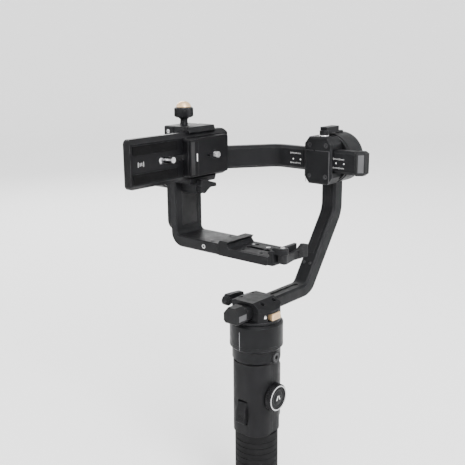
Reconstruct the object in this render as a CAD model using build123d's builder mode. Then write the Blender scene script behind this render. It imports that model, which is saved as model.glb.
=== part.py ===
from build123d import *
import os
from math import cos, radians, sin

os.makedirs("parts", exist_ok=True)

# A three-axis handheld camera gimbal, standing on the base of its handle.
# +Z is up along the pan axis, -Y is the way the lens looks, +X is the open end of the tray.
# The origin is the centre of the handle's base. The roll axis runs along Y and the tilt axis
# along X, and they cross the pan axis at the camera's centre of mass.

# ---------------------------------------------------------------- driving dimensions
AXIS_Z = 379.0  # height of the roll and tilt axes
PAN_MOUTH_Z = 224.0  # mouth of the pan motor's cup
ROLL_MOUTH_Y = 133.5  # mouth of the roll motor's cup
TILT_MOUTH_X = -117.0  # mouth of the tilt motor's cup

CUP_R = 28.5  # outside of a motor cup
CUP_INNER_R = 25.2
CUP_DEPTH = 25.0  # a cup without its cover
CUP_FLOOR = 3.0
HUB_R = 10.0  # tube that holds the bearings
BEARING_R = 8.0
BEARING_BORE_R = 5.05
SHAFT_R = 5.0
ROTOR_DISC_R = 27.5
GAP = 0.8  # between a cup's mouth and its rotor disc
DISC_TOP = 3.2
SLIDE_GAP = 0.3  # between a clamped arm and its channel

HANDLE_W = 45.0
HANDLE_D = 47.0
HANDLE_CORNER = 18.0
SEAM = 0.1  # half the seam between the two handle shells
CAP_H = 16.0  # battery cap
GRIP_TOP = 98.0
GRIP_R = 21.4
SLEEVE_R = 23.5
HANDLE_TOP = 180.0
NECK_TOP = 194.0  # where the wide part of the pan motor starts
NECK_R = 26.0
TRIPOD_R = 2.55  # tapping radius of a quarter-inch camera thread

WHEEL_Z = 141.0
WHEEL_R = 15.0
WHEEL_IN = 23.0
WHEEL_OUT = 30.0
TRIGGER_Z = 134.0
TRIGGER_Y = -19.5
FASCIA_Y = 20.5  # back of the control panel
FASCIA_OUT = 25.5
STICK_Z = 134.0
STICK_Y = 19.5
BUTTON_Z = 117.0
BUTTON_R = 3.0
BUTTON_GAP = 7.4
PORT_Z = 186.6
PORT_FACE_X = 27.2

ARM_HALF = 9.5  # half width of the yaw arm
ARM_BOTTOM = 229.5
ARM_TOP = 243.7
ARM_FRONT_Y = -28.0
CLAMP_R = 25.6
CLAMP_FRONT_Y = -19.0
CLAMP_BACK_Y = 17.0
CLAMP_SPLIT = 238.5
CLAMP_TOP = 247.5
YAW_LEVER_Y = -14.0
YAW_LEVER_Z = 241.4

BOX_HALF_W = 18.25  # roll clamp
BOX_HALF_H = 26.5
BOX_FRONT = 109.0
BOX_SPLIT = 113.0
ROLL_ARM_FRONT = 113.3
ROLL_ARM_BACK = 127.5
ROLL_ARM_HALF_H = 13.0
ROLL_ARM_END = 46.0
ROLL_ARM_TIP = 55.0
BEND_X = -59.3  # where the roll arm turns forward
BEND_ANGLE = 52.6
ROLL_LEVER_X = 3.0
ROLL_LEVER_Y = 117.0

RAIL_IN = -113.8
RAIL_OUT = -103.8
RAIL_HALF_W = 16.0
RAIL_BOTTOM = 305.0
RAIL_TOP = 411.0
BRACKET_IN = -103.5
BRACKET_OUT = -95.0
BRACKET_HALF_W = 21.0
BRACKET_TOP = 411.3
TRAY_BOTTOM = 292.0
TRAY_TOP = 304.0
TRAY_HALF_D = 21.0
TRAY_JOIN_X = -34.0
RECEIVER_END_X = 31.0
FLOOR_Z = 301.0
YOKE_TOP = 422.3
YOKE_HALF = 20.0
KNOB_R = 10.3
KNOB_BOTTOM = 430.5
KNOB_TOP = 441.5
DOME_TOP = 447.5
KNOB_X = -100.0

RECEIVER_HALF = 20.0
UPRIGHT_LEVER_Y = -6.0
UPRIGHT_LEVER_Z = 357.0
TRAY_LEVER_X = 43.0
TRAY_LEVER_Y = -12.0
RISER_MID_Z = 392.0
PLATE_Z = 392.5  # middle of the upright quick-release plate
PLATE_HALF = 25.0
PLATE_BACK_X = -82.0
PLATE_PAD_X = -72.0
PLATE_FRONT_Y = -104.0
PLATE_REAR_Y = 39.0
RECEIVER_X = -82.3  # face that the plate slides on
RISER_X = -64.0
STUD_Y = 8.7  # camera screw
REAR_SCREW_Y = -50.0

pan_mouth = Plane((0, 0, PAN_MOUTH_Z), x_dir=(1, 0, 0), z_dir=(0, 0, 1))
roll_mouth = Plane((0, ROLL_MOUTH_Y, AXIS_Z), x_dir=(1, 0, 0), z_dir=(0, -1, 0))
tilt_mouth = Plane((TILT_MOUTH_X, 0, AXIS_Z), x_dir=(0, 1, 0), z_dir=(1, 0, 0))


# ---------------------------------------------------------------- shared motor pieces
def motor_stator(mouth):
    """A laminated core with twelve wound teeth, pressed on the cup's hub."""
    with BuildPart() as core:
        with BuildSketch(mouth.offset(-16)):
            Circle(13)
            with PolarLocations(15.5, 12):
                Rectangle(7, 2.6)
            with PolarLocations(19, 12):
                Rectangle(2, 7.4)
            Circle(HUB_R, mode=Mode.SUBTRACT)
        extrude(amount=9)
        with BuildSketch(mouth.offset(-17.5)):
            with PolarLocations(15.6, 12):
                RectangleRounded(4.6, 5.0, 1)
        extrude(amount=12)
    return core


def motor_magnets(mouth):
    """Fourteen magnets bonded inside the rotor's skirt."""
    with BuildPart() as magnets:
        with BuildSketch(mouth.offset(-18)):
            Circle(22.75)
            Circle(20.8, mode=Mode.SUBTRACT)
            with PolarLocations(21.8, 14):
                Rectangle(4, 0.6, mode=Mode.SUBTRACT)
        extrude(amount=13)
    return magnets


def motor_rotor(mouth, disc_r):
    """The rotor disc with its skirt and hollow shaft."""
    with BuildPart() as rotor:
        with BuildSketch(mouth.offset(GAP)):
            Circle(disc_r)
        extrude(amount=DISC_TOP - GAP)
        with BuildSketch(mouth.offset(GAP)):
            Circle(24.5)
            Circle(22.8, mode=Mode.SUBTRACT)
        extrude(amount=-20)
        with BuildSketch(mouth.offset(GAP)):
            Circle(SHAFT_R)
        extrude(amount=-22.3)
        with BuildSketch(mouth.offset(DISC_TOP)):
            Circle(2.5)
        extrude(amount=-26, mode=Mode.SUBTRACT)
    return rotor


def motor_bearings(mouth):
    """Two ball bearings, one at each end of the hub."""
    with BuildPart() as bearings:
        for start in (-7.5, -20.5):
            with BuildSketch(mouth.offset(start)):
                Circle(BEARING_R)
                Circle(BEARING_BORE_R, mode=Mode.SUBTRACT)
            extrude(amount=4)
    return bearings


def motor_cover(mouth, depth):
    """The domed cap that closes the back of a motor cup."""
    with BuildPart() as cover:
        with BuildSketch(mouth.offset(-depth)):
            Circle(CUP_R)
        extrude(amount=-5)
        chamfer(cover.faces().sort_by(Axis(mouth.origin, mouth.z_dir))[0].edges(), 3.2)
        with BuildSketch(mouth.offset(-depth - 5)):
            Circle(19)
            Circle(16.5, mode=Mode.SUBTRACT)
        extrude(amount=0.7, mode=Mode.SUBTRACT)
    return cover


def motor_cup(mouth, lip):
    """The outside of a motor cup, still solid, with its lip chamfered."""
    with BuildPart() as cup:
        with BuildSketch(mouth):
            Circle(CUP_R)
        extrude(amount=-CUP_DEPTH)
        chamfer(cup.faces().sort_by(Axis(mouth.origin, mouth.z_dir))[-1].edges(), lip)
    return cup


def cup_space(mouth):
    """The space inside a motor cup, round the hub and through it."""
    with BuildPart() as space:
        with BuildSketch(mouth):
            Circle(CUP_INNER_R)
            Circle(HUB_R, mode=Mode.SUBTRACT)
        extrude(amount=CUP_FLOOR - CUP_DEPTH)
        with BuildSketch(mouth):
            Circle(HUB_R + 1)
        extrude(amount=-3.5)
        with BuildSketch(mouth):
            Circle(BEARING_R)
        extrude(amount=-23.5)
    return space


# ---------------------------------------------------------------- handle
with BuildPart() as battery_cap:
    with BuildSketch(Plane.XY):
        Circle(SLEEVE_R)
    extrude(amount=CAP_H)
    chamfer(battery_cap.edges().group_by(Axis.Z)[0], 1.5)
    fillet(battery_cap.edges().group_by(Axis.Z)[-1], 0.8)
    with BuildSketch(Plane.XY.offset(CAP_H)):
        Circle(19)
    extrude(amount=4)
    with BuildSketch(Plane.XY.offset(3)):
        with PolarLocations(SLEEVE_R, 30):
            Circle(0.9)
    extrude(amount=9, mode=Mode.SUBTRACT)
    with BuildSketch(Plane.XY):
        Circle(6)
    extrude(amount=12, mode=Mode.SUBTRACT)
    with BuildSketch(Plane.XY):
        with PolarLocations(13, 2):
            Circle(1.8)
    extrude(amount=3, mode=Mode.SUBTRACT)
battery_cap.part.label = "battery_cap"
export_step(battery_cap.part, "parts/battery_cap.step")

with BuildPart() as tripod_insert:
    with BuildSketch(Plane.XY):
        Circle(6)
    extrude(amount=12)
    with BuildSketch(Plane.XY):
        Circle(TRIPOD_R)
    extrude(amount=10, mode=Mode.SUBTRACT)
tripod_insert.part.label = "tripod_insert"
export_step(tripod_insert.part, "parts/tripod_insert.step")

with BuildPart() as battery_cells:
    with BuildSketch(Plane.XY.offset(22)):
        with PolarLocations(10.5, 3):
            Circle(9)
    extrude(amount=64)
    with BuildSketch(Plane.XY.offset(86)):
        with PolarLocations(10.5, 3):
            Circle(3)
    extrude(amount=1.2)
battery_cells.part.label = "battery_cells"
export_step(battery_cells.part, "parts/battery_cells.step")

with BuildPart() as grip_sleeve:
    with BuildSketch(Plane.XY.offset(CAP_H + 0.4)):
        Circle(SLEEVE_R)
        Circle(GRIP_R + 0.05, mode=Mode.SUBTRACT)
    extrude(amount=GRIP_TOP - CAP_H - 0.8)
    for level in range(11):
        with BuildSketch(Plane.XY.offset(23 + 6.6 * level)):
            Circle(SLEEVE_R + 1)
            Circle(SLEEVE_R - 0.5, mode=Mode.SUBTRACT)
        extrude(amount=1.2, mode=Mode.SUBTRACT)
grip_sleeve.part.label = "grip_sleeve"
export_step(grip_sleeve.part, "parts/grip_sleeve.step")


def handle_solid():
    """The outside of both handle shells together, with the space for cells and board."""
    with BuildPart() as body:
        with BuildSketch(Plane.XY.offset(CAP_H + 0.2)):
            Circle(GRIP_R)
        extrude(amount=GRIP_TOP - CAP_H)
        with BuildSketch(Plane.XY.offset(GRIP_TOP)):
            RectangleRounded(HANDLE_W, HANDLE_D, HANDLE_CORNER)
        extrude(amount=HANDLE_TOP - GRIP_TOP)
        chamfer(body.edges().group_by(Axis.Z)[-1], 0.6)
        with BuildSketch(Plane.XY.offset(CAP_H)):
            Circle(19.7)
        extrude(amount=GRIP_TOP - CAP_H - 6, mode=Mode.SUBTRACT)
        with BuildSketch(Plane.XY.offset(GRIP_TOP - 7)):
            RectangleRounded(HANDLE_W - 6, 37, 13)
        extrude(amount=HANDLE_TOP - GRIP_TOP + 8, mode=Mode.SUBTRACT)
        with BuildSketch(Plane.YZ.offset(15)):
            with Locations((0, WHEEL_Z)):
                Circle(2.06)
        extrude(amount=10, mode=Mode.SUBTRACT)
    return body


with BuildPart() as control_holes:
    with BuildSketch(Plane.XZ.offset(-17)):
        with Locations((0, STICK_Z)):
            Circle(6.2)
        with Locations((-BUTTON_GAP, BUTTON_Z), (0, BUTTON_Z), (BUTTON_GAP, BUTTON_Z)):
            Circle(BUTTON_R + 0.3)
    extrude(amount=-10)

screw_places = [(x, z) for x in (-10.5, 10.5) for z in (108, 168)]

with BuildPart() as handle_front_shell:
    add(handle_solid().part)
    split(bisect_by=Plane.XZ.offset(SEAM), keep=Keep.TOP)
    with BuildSketch(Plane.XZ):
        with Locations((0, 124.2)):
            Rectangle(12.6, 27.6)
    extrude(amount=30, mode=Mode.SUBTRACT)
    with BuildSketch(Plane.XZ.offset(16.5)):
        with Locations((-8.2, TRIGGER_Z), (8.2, TRIGGER_Z)):
            Rectangle(3.8, 6)
    extrude(amount=2.2)
    with BuildSketch(Plane.YZ.offset(-12)):
        with Locations((TRIGGER_Y, TRIGGER_Z)):
            Circle(1.56)
    extrude(amount=24, mode=Mode.SUBTRACT)
handle_front_shell.part.label = "handle_front_shell"
export_step(handle_front_shell.part, "parts/handle_front_shell.step")

with BuildPart() as handle_rear_shell:
    add(handle_solid().part)
    split(bisect_by=Plane.XZ.offset(-SEAM), keep=Keep.BOTTOM)
    with BuildSketch(Plane.XZ.offset(-FASCIA_Y)):
        with Locations((0, 138)):
            RectangleRounded(28, 68, 5)
    extrude(amount=-6, mode=Mode.SUBTRACT)
    add(control_holes.part, mode=Mode.SUBTRACT)
    with BuildSketch(Plane.XY.offset(STICK_Z - 7.7)):
        with Locations((0, STICK_Y)):
            Circle(0.86)
    extrude(amount=15.4, mode=Mode.SUBTRACT)
    with BuildSketch(Plane.XZ.offset(-17)):
        with Locations(*screw_places):
            Circle(1.05)
    extrude(amount=-4, mode=Mode.SUBTRACT)
handle_rear_shell.part.label = "handle_rear_shell"
export_step(handle_rear_shell.part, "parts/handle_rear_shell.step")

with BuildPart() as control_fascia:
    with BuildSketch(Plane.XZ.offset(-FASCIA_Y)):
        with Locations((0, 138)):
            RectangleRounded(27.8, 67.8, 4.9)
    extrude(amount=FASCIA_Y - FASCIA_OUT)
    fillet(control_fascia.faces().sort_by(Axis.Y)[-1].edges(), 1.2)
    add(control_holes.part, mode=Mode.SUBTRACT)
    with BuildSketch(Plane.XZ.offset(-23.5)):
        with Locations((0, 155)):
            RectangleRounded(23, 15, 1)
    extrude(amount=-3, mode=Mode.SUBTRACT)
    with BuildSketch(Plane.XZ.offset(-20)):
        with Locations(*screw_places):
            Circle(1.05)
    extrude(amount=-6, mode=Mode.SUBTRACT)
    with BuildSketch(Plane.XZ.offset(-24.2)):
        with Locations(*screw_places):
            Circle(1.8)
    extrude(amount=-3, mode=Mode.SUBTRACT)
control_fascia.part.label = "control_fascia"
export_step(control_fascia.part, "parts/control_fascia.step")

with BuildPart() as display_window:
    with BuildSketch(Plane.XZ.offset(-23.5)):
        with Locations((0, 155)):
            RectangleRounded(22.9, 14.9, 0.95)
    extrude(amount=-1.7)
display_window.part.label = "display_window"
export_step(display_window.part, "parts/display_window.step")

with BuildPart() as control_board:
    with BuildSketch(Plane.XZ.offset(-12.8)):
        with Locations((0, 138)):
            RectangleRounded(28, 62, 2)
    extrude(amount=-1.6)
    with BuildSketch(Plane.XZ.offset(-12.8)):
        with Locations((-6, 150), (7, 128)):
            Rectangle(9, 9)
        with Locations((6, 152), (-8, 125)):
            Rectangle(5, 7)
    extrude(amount=1.2)
control_board.part.label = "control_board"
export_step(control_board.part, "parts/control_board.step")

with BuildPart() as handle_screws:
    with BuildSketch(Plane.XZ.offset(-24.25)):
        with Locations(*screw_places):
            Circle(1.75)
    extrude(amount=-1.1)
    with BuildSketch(Plane.XZ.offset(-25.35)):
        with Locations(*screw_places):
            Rectangle(2.4, 0.5)
            Rectangle(0.5, 2.4)
    extrude(amount=0.6, mode=Mode.SUBTRACT)
    with BuildSketch(Plane.XZ.offset(-24.25)):
        with Locations(*screw_places):
            Circle(1)
    extrude(amount=6)
handle_screws.part.label = "handle_screws"
export_step(handle_screws.part, "parts/handle_screws.step")

with BuildPart() as pan_motor_cup:
    with BuildSketch(Plane.XZ):
        Polygon(
            (0, HANDLE_TOP), (NECK_R - 2.6, HANDLE_TOP), (NECK_R, HANDLE_TOP + 2.6),
            (NECK_R, NECK_TOP), (CUP_R, NECK_TOP + 2.5), (CUP_R, PAN_MOUTH_Z - 2.3),
            (CUP_R - 2.3, PAN_MOUTH_Z), (0, PAN_MOUTH_Z), align=None)
    revolve(axis=Axis.Z)
    with BuildSketch(Plane.YZ.offset(15)):
        with Locations((0, PORT_Z)):
            Circle(6.5)
    extrude(amount=PORT_FACE_X - 15)
    with BuildSketch(Plane.XY.offset(HANDLE_TOP)):
        Circle(14.5)
    extrude(amount=16, mode=Mode.SUBTRACT)
    add(cup_space(pan_mouth).part, mode=Mode.SUBTRACT)
    with BuildSketch(Plane.YZ.offset(18)):
        with Locations((0, PORT_Z)):
            Circle(4)
    extrude(amount=12, mode=Mode.SUBTRACT)
    with BuildSketch(Plane.XY.offset(NECK_TOP + 1)):
        with Locations((0, -CUP_R)):
            Rectangle(1, 1.6)
    extrude(amount=22, mode=Mode.SUBTRACT)
pan_motor_cup.part.label = "pan_motor_cup"
export_step(pan_motor_cup.part, "parts/pan_motor_cup.step")

with BuildPart() as side_port_insert:
    with BuildSketch(Plane.YZ.offset(18)):
        with Locations((0, PORT_Z)):
            Circle(4)
            Circle(TRIPOD_R, mode=Mode.SUBTRACT)
    extrude(amount=PORT_FACE_X - 18)
side_port_insert.part.label = "side_port_insert"
export_step(side_port_insert.part, "parts/side_port_insert.step")

pan_stator = motor_stator(pan_mouth)
pan_stator.part.label = "pan_stator"
export_step(pan_stator.part, "parts/pan_stator.step")

pan_bearings = motor_bearings(pan_mouth)
pan_bearings.part.label = "pan_bearings"
export_step(pan_bearings.part, "parts/pan_bearings.step")

with BuildPart() as focus_wheel:
    with BuildSketch(Plane.YZ.offset(WHEEL_IN)):
        with Locations((0, WHEEL_Z)):
            Circle(WHEEL_R)
    extrude(amount=WHEEL_OUT - WHEEL_IN)
    chamfer(focus_wheel.edges().group_by(Axis.X)[-1], 1.2)
    chamfer(focus_wheel.edges().group_by(Axis.X)[0], 0.8)
    with BuildSketch(Plane.YZ.offset(WHEEL_OUT)):
        with Locations((0, WHEEL_Z)):
            Circle(11.4)
    extrude(amount=-0.9, mode=Mode.SUBTRACT)
    with BuildSketch(Plane.YZ.offset(WHEEL_IN - 1)):
        with Locations((0, WHEEL_Z)):
            with PolarLocations(WHEEL_R + 0.15, 40):
                Circle(0.7)
    extrude(amount=9, mode=Mode.SUBTRACT)
    with BuildSketch(Plane.YZ.offset(17)):
        with Locations((0, WHEEL_Z)):
            Circle(2)
    extrude(amount=6.5)
    with BuildSketch(Plane.YZ.offset(17)):
        with Locations((0, WHEEL_Z)):
            Circle(3.4)
    extrude(amount=1.6)
focus_wheel.part.label = "focus_wheel"
export_step(focus_wheel.part, "parts/focus_wheel.step")

with BuildPart() as trigger:
    with BuildSketch(Plane.YZ.offset(-5.8)):
        with BuildLine():
            FilletPolyline(
                (-17.6, 136), (-23, 136), (-27.2, 128), (-28.4, 112.6), (-24.4, 112.6),
                (-22.6, 122), (-17.6, 131), radius=[0.8, 3, 8, 1.5, 1.5, 4, 1], close=True)
        make_face()
    extrude(amount=11.6)
    with BuildSketch(Plane.YZ.offset(-9.5)):
        with Locations((TRIGGER_Y, TRIGGER_Z)):
            Circle(1.5)
    extrude(amount=19)
trigger.part.label = "trigger"
export_step(trigger.part, "parts/trigger.step")

with BuildPart() as joystick_ring:
    with BuildSketch(Plane.XZ.offset(-STICK_Y + 1.2)):
        with Locations((0, STICK_Z)):
            Circle(5.5)
            Circle(3.9, mode=Mode.SUBTRACT)
    extrude(amount=-2.4)
    for start in (STICK_Z - 7.4, STICK_Z + 5):
        with BuildSketch(Plane.XY.offset(start)):
            with Locations((0, STICK_Y)):
                Circle(0.8)
        extrude(amount=2.4)
    with BuildSketch(Plane.YZ.offset(-6)):
        with Locations((STICK_Y, STICK_Z)):
            Circle(0.86)
    extrude(amount=12, mode=Mode.SUBTRACT)
joystick_ring.part.label = "joystick_ring"
export_step(joystick_ring.part, "parts/joystick_ring.step")

with BuildPart() as joystick:
    with BuildSketch(Plane.XZ.offset(-17.6)):
        with Locations((0, STICK_Z)):
            Circle(2.2)
    extrude(amount=-11)
    with BuildSketch(Plane.YZ.offset(-5)):
        with Locations((STICK_Y, STICK_Z)):
            Circle(0.8)
    extrude(amount=10)
    with BuildSketch(Plane.XZ.offset(-28.2)):
        with Locations((0, STICK_Z)):
            Circle(6.6)
    extrude(amount=-3.2)
    fillet(joystick.edges().group_by(Axis.Y)[-1], 1.4)
    with BuildSketch(Plane.XZ.offset(-31.4)):
        with Locations((0, STICK_Z)):
            Circle(3.6)
    extrude(amount=0.5, mode=Mode.SUBTRACT)
joystick.part.label = "joystick"
export_step(joystick.part, "parts/joystick.step")


def push_button(x):
    """A round button with the flange that keeps it behind the panel."""
    with BuildPart() as button:
        with BuildSketch(Plane.XZ.offset(-17.3)):
            with Locations((x, BUTTON_Z)):
                Circle(BUTTON_R)
        extrude(amount=-9.1)
        fillet(button.edges().group_by(Axis.Y)[-1], 0.6)
        with BuildSketch(Plane.XZ.offset(-15.9)):
            with Locations((x, BUTTON_Z)):
                Circle(BUTTON_R + 0.5)
        extrude(amount=-1.4)
    return button


mode_button = push_button(-BUTTON_GAP)
mode_button.part.label = "mode_button"
export_step(mode_button.part, "parts/mode_button.step")

menu_button = push_button(0)
menu_button.part.label = "menu_button"
export_step(menu_button.part, "parts/menu_button.step")

record_button = push_button(BUTTON_GAP)
record_button.part.label = "record_button"
export_step(record_button.part, "parts/record_button.step")

# ---------------------------------------------------------------- pan rotor and yaw clamp
pan_rotor = motor_rotor(pan_mouth, NECK_R)
pan_rotor.part.label = "pan_rotor"
export_step(pan_rotor.part, "parts/pan_rotor.step")

pan_magnets = motor_magnets(pan_mouth)
pan_magnets.part.label = "pan_magnets"
export_step(pan_magnets.part, "parts/pan_magnets.step")

PAN_DISC_TOP = PAN_MOUTH_Z + DISC_TOP
clamp_screw_places = [(x, y) for x in (-14.2, 14.2) for y in (-8, 11)]

with BuildPart() as clamp_drum:
    with BuildSketch(Plane.XY.offset(PAN_DISC_TOP)):
        Circle(CLAMP_R)
    extrude(amount=CLAMP_TOP - PAN_DISC_TOP)
    with BuildSketch(Plane.XY.offset(PAN_DISC_TOP)):
        with Locations((0, (CLAMP_FRONT_Y + CLAMP_BACK_Y) / 2)):
            Rectangle(60, CLAMP_BACK_Y - CLAMP_FRONT_Y)
    extrude(amount=CLAMP_TOP - PAN_DISC_TOP, mode=Mode.INTERSECT)

with BuildPart() as yaw_clamp_base:
    add(clamp_drum.part)
    split(bisect_by=Plane.XY.offset(CLAMP_SPLIT), keep=Keep.BOTTOM)
    with BuildSketch(Plane.XZ.offset(30)):
        with Locations((0, ARM_BOTTOM - SLIDE_GAP)):
            Rectangle(2 * (ARM_HALF + SLIDE_GAP), 30, align=(Align.CENTER, Align.MIN))
    extrude(amount=-60, mode=Mode.SUBTRACT)
    with BuildSketch(Plane.YZ.offset(19.8)):
        with Locations((-1, 232)):
            RectangleRounded(19.5, 8.4, 1)
    extrude(amount=8, mode=Mode.SUBTRACT)
    with BuildSketch(Plane.XY.offset(CLAMP_SPLIT)):
        with Locations(*clamp_screw_places):
            Circle(1.3)
    extrude(amount=-9, mode=Mode.SUBTRACT)
yaw_clamp_base.part.label = "yaw_clamp_base"
export_step(yaw_clamp_base.part, "parts/yaw_clamp_base.step")

with BuildPart() as yaw_clamp_cap:
    with BuildSketch(Plane.XZ.offset(30)):
        Polygon(
            (-30, CLAMP_SPLIT), (30, CLAMP_SPLIT), (24.4, CLAMP_SPLIT + 0.6), (10, CLAMP_TOP),
            (-14, CLAMP_TOP), (-30, CLAMP_SPLIT + 3), align=None)
    extrude(amount=-60)
    add(clamp_drum.part, mode=Mode.INTERSECT)
    with BuildSketch(Plane.XZ.offset(30)):
        with Locations((0, CLAMP_SPLIT - 1)):
            Rectangle(
                2 * (ARM_HALF + SLIDE_GAP), ARM_TOP + SLIDE_GAP - CLAMP_SPLIT + 1,
                align=(Align.CENTER, Align.MIN))
    extrude(amount=-60, mode=Mode.SUBTRACT)
    with BuildSketch(Plane.XY.offset(CLAMP_SPLIT)):
        with Locations(*clamp_screw_places):
            Circle(1.35)
    extrude(amount=12, mode=Mode.SUBTRACT)
    with BuildSketch(Plane.XY.offset(CLAMP_SPLIT + 1.6)):
        with Locations(*clamp_screw_places):
            Circle(2.5)
    extrude(amount=12, mode=Mode.SUBTRACT)
    with BuildSketch(Plane.YZ.offset(-27)):
        with Locations((YAW_LEVER_Y, YAW_LEVER_Z)):
            Circle(2.06)
    extrude(amount=14, mode=Mode.SUBTRACT)
yaw_clamp_cap.part.label = "yaw_clamp_cap"
export_step(yaw_clamp_cap.part, "parts/yaw_clamp_cap.step")


def socket_screws(plane, places, head_r, head_h, shank_r, shank_length):
    """Socket-head cap screws: the plane lies under the heads and points out of them."""
    with BuildPart() as screws:
        with BuildSketch(plane):
            with Locations(*places):
                Circle(head_r)
        extrude(amount=head_h)
        with BuildSketch(plane.offset(head_h)):
            with Locations(*places):
                RegularPolygon(head_r * 0.5, 6)
        extrude(amount=-head_h * 0.55, mode=Mode.SUBTRACT)
        with BuildSketch(plane):
            with Locations(*places):
                Circle(shank_r)
        extrude(amount=-shank_length)
    return screws


yaw_clamp_screws = socket_screws(
    Plane.XY.offset(CLAMP_SPLIT + 1.6), clamp_screw_places, 2.4, 2.2, 1.25, 9.5)
yaw_clamp_screws.part.label = "yaw_clamp_screws"
export_step(yaw_clamp_screws.part, "parts/yaw_clamp_screws.step")

with BuildPart() as pan_latch:
    with BuildSketch(Plane.YZ.offset(20.2)):
        with Locations((1, 232)):
            RectangleRounded(14, 7.6, 1)
    extrude(amount=6.2)
    fillet(pan_latch.faces().sort_by(Axis.X)[-1].edges(), 0.9)
    with BuildSketch(Plane.YZ.offset(26.4)):
        with Locations(*[(1 + 1.8 * step, 232) for step in (-2, -1, 0, 1, 2)]):
            Rectangle(0.7, 4.8)
    extrude(amount=-0.6, mode=Mode.SUBTRACT)
pan_latch.part.label = "pan_latch"
export_step(pan_latch.part, "parts/pan_latch.step")

with BuildPart() as yaw_lever:
    with BuildSketch(Plane.YZ.offset(-32)):
        with Locations((YAW_LEVER_Y, YAW_LEVER_Z)):
            Circle(5.2)
        with BuildLine():
            FilletPolyline(
                (-18, 243), (-14, 248), (-4, 247.5), (10, 246), (11.5, 241), (-2, 240.5),
                (-10, 237.5), radius=[1, 2, 6, 1.5, 1.5, 6, 1], close=True)
        make_face()
    extrude(amount=6)
    with BuildSketch(Plane.YZ.offset(-26)):
        with Locations((YAW_LEVER_Y, YAW_LEVER_Z)):
            Circle(3.6)
    extrude(amount=2)
    with BuildSketch(Plane.YZ.offset(-26)):
        with Locations((YAW_LEVER_Y, YAW_LEVER_Z)):
            Circle(2)
    extrude(amount=11)
yaw_lever.part.label = "yaw_lever"
export_step(yaw_lever.part, "parts/yaw_lever.step")

# ---------------------------------------------------------------- yaw arm
with BuildPart() as yaw_arm:
    with BuildSketch(Plane.YZ.offset(-ARM_HALF)):
        with BuildLine():
            FilletPolyline(
                (ARM_FRONT_Y, ARM_TOP), (77.8, ARM_TOP), (132, 320.8), (132, 362), (149.5, 362),
                (149.5, 314.7), (88.7, ARM_BOTTOM), (ARM_FRONT_Y, ARM_BOTTOM),
                radius=[0, 9, 26, 0, 0, 34, 22, 0], close=True)
        make_face()
    extrude(amount=2 * ARM_HALF)
    chamfer(yaw_arm.faces().filter_by(Axis.X).edges(), 2.2)
    with BuildSketch(roll_mouth):
        Circle(CUP_R + 1)
    extrude(amount=6, mode=Mode.SUBTRACT)
    add(motor_cup(roll_mouth, 1.2).part)
    add(cup_space(roll_mouth).part, mode=Mode.SUBTRACT)
    with BuildSketch(Plane.XY.offset(ARM_TOP)):
        with Locations((0, 45)):
            SlotOverall(58, 5, rotation=90)
    extrude(amount=-1.2, mode=Mode.SUBTRACT)
    with BuildSketch(Plane.XY.offset(AXIS_Z + CUP_R - 1.5)):
        with Locations((0, 149)):
            RectangleRounded(8.4, 14, 1)
    extrude(amount=4, mode=Mode.SUBTRACT)
yaw_arm.part.label = "yaw_arm"
export_step(yaw_arm.part, "parts/yaw_arm.step")

with BuildPart() as yaw_arm_end_cap:
    with BuildSketch(Plane.XZ.offset(-ARM_FRONT_Y)):
        Polygon(
            (-10.3, 231.5), (-8, 229.2), (8, 229.2), (10.3, 231.5), (10.3, 239.5), (4.5, 246.5),
            (-4.5, 246.5), (-10.3, 239.5), align=None)
    extrude(amount=14)
    chamfer(yaw_arm_end_cap.faces().sort_by(Axis.Y)[0].edges(), 1.2)
yaw_arm_end_cap.part.label = "yaw_arm_end_cap"
export_step(yaw_arm_end_cap.part, "parts/yaw_arm_end_cap.step")

roll_motor_cover = motor_cover(roll_mouth, CUP_DEPTH)
roll_motor_cover.part.label = "roll_motor_cover"
export_step(roll_motor_cover.part, "parts/roll_motor_cover.step")

roll_stator = motor_stator(roll_mouth)
roll_stator.part.label = "roll_stator"
export_step(roll_stator.part, "parts/roll_stator.step")

roll_bearings = motor_bearings(roll_mouth)
roll_bearings.part.label = "roll_bearings"
export_step(roll_bearings.part, "parts/roll_bearings.step")

with BuildPart() as roll_latch:
    with BuildSketch(Plane.XY.offset(AXIS_Z + CUP_R - 1.2)):
        with Locations((0, 150.4)):
            RectangleRounded(7.6, 10, 0.8)
    extrude(amount=3.4)
    with BuildSketch(Plane.XY.offset(AXIS_Z + CUP_R + 2.2)):
        with Locations(*[(0, 147 + 1.7 * step) for step in range(5)]):
            Rectangle(6, 0.6)
    extrude(amount=-0.6, mode=Mode.SUBTRACT)
roll_latch.part.label = "roll_latch"
export_step(roll_latch.part, "parts/roll_latch.step")

# ---------------------------------------------------------------- roll rotor and roll clamp
roll_rotor = motor_rotor(roll_mouth, ROTOR_DISC_R)
roll_rotor.part.label = "roll_rotor"
export_step(roll_rotor.part, "parts/roll_rotor.step")

roll_magnets = motor_magnets(roll_mouth)
roll_magnets.part.label = "roll_magnets"
export_step(roll_magnets.part, "parts/roll_magnets.step")

ROLL_DISC_Y = ROLL_MOUTH_Y - DISC_TOP
box_screw_places = [(x, AXIS_Z + z) for x in (-10.8, 10.8) for z in (-17.5, 17.5)]
box_outline = [
    (-BOX_HALF_W, -BOX_HALF_H + 8), (-BOX_HALF_W + 6, -BOX_HALF_H), (BOX_HALF_W - 6, -BOX_HALF_H),
    (BOX_HALF_W, -BOX_HALF_H + 8), (BOX_HALF_W, BOX_HALF_H - 8), (BOX_HALF_W - 6, BOX_HALF_H),
    (-BOX_HALF_W + 6, BOX_HALF_H), (-BOX_HALF_W, BOX_HALF_H - 8)]

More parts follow.
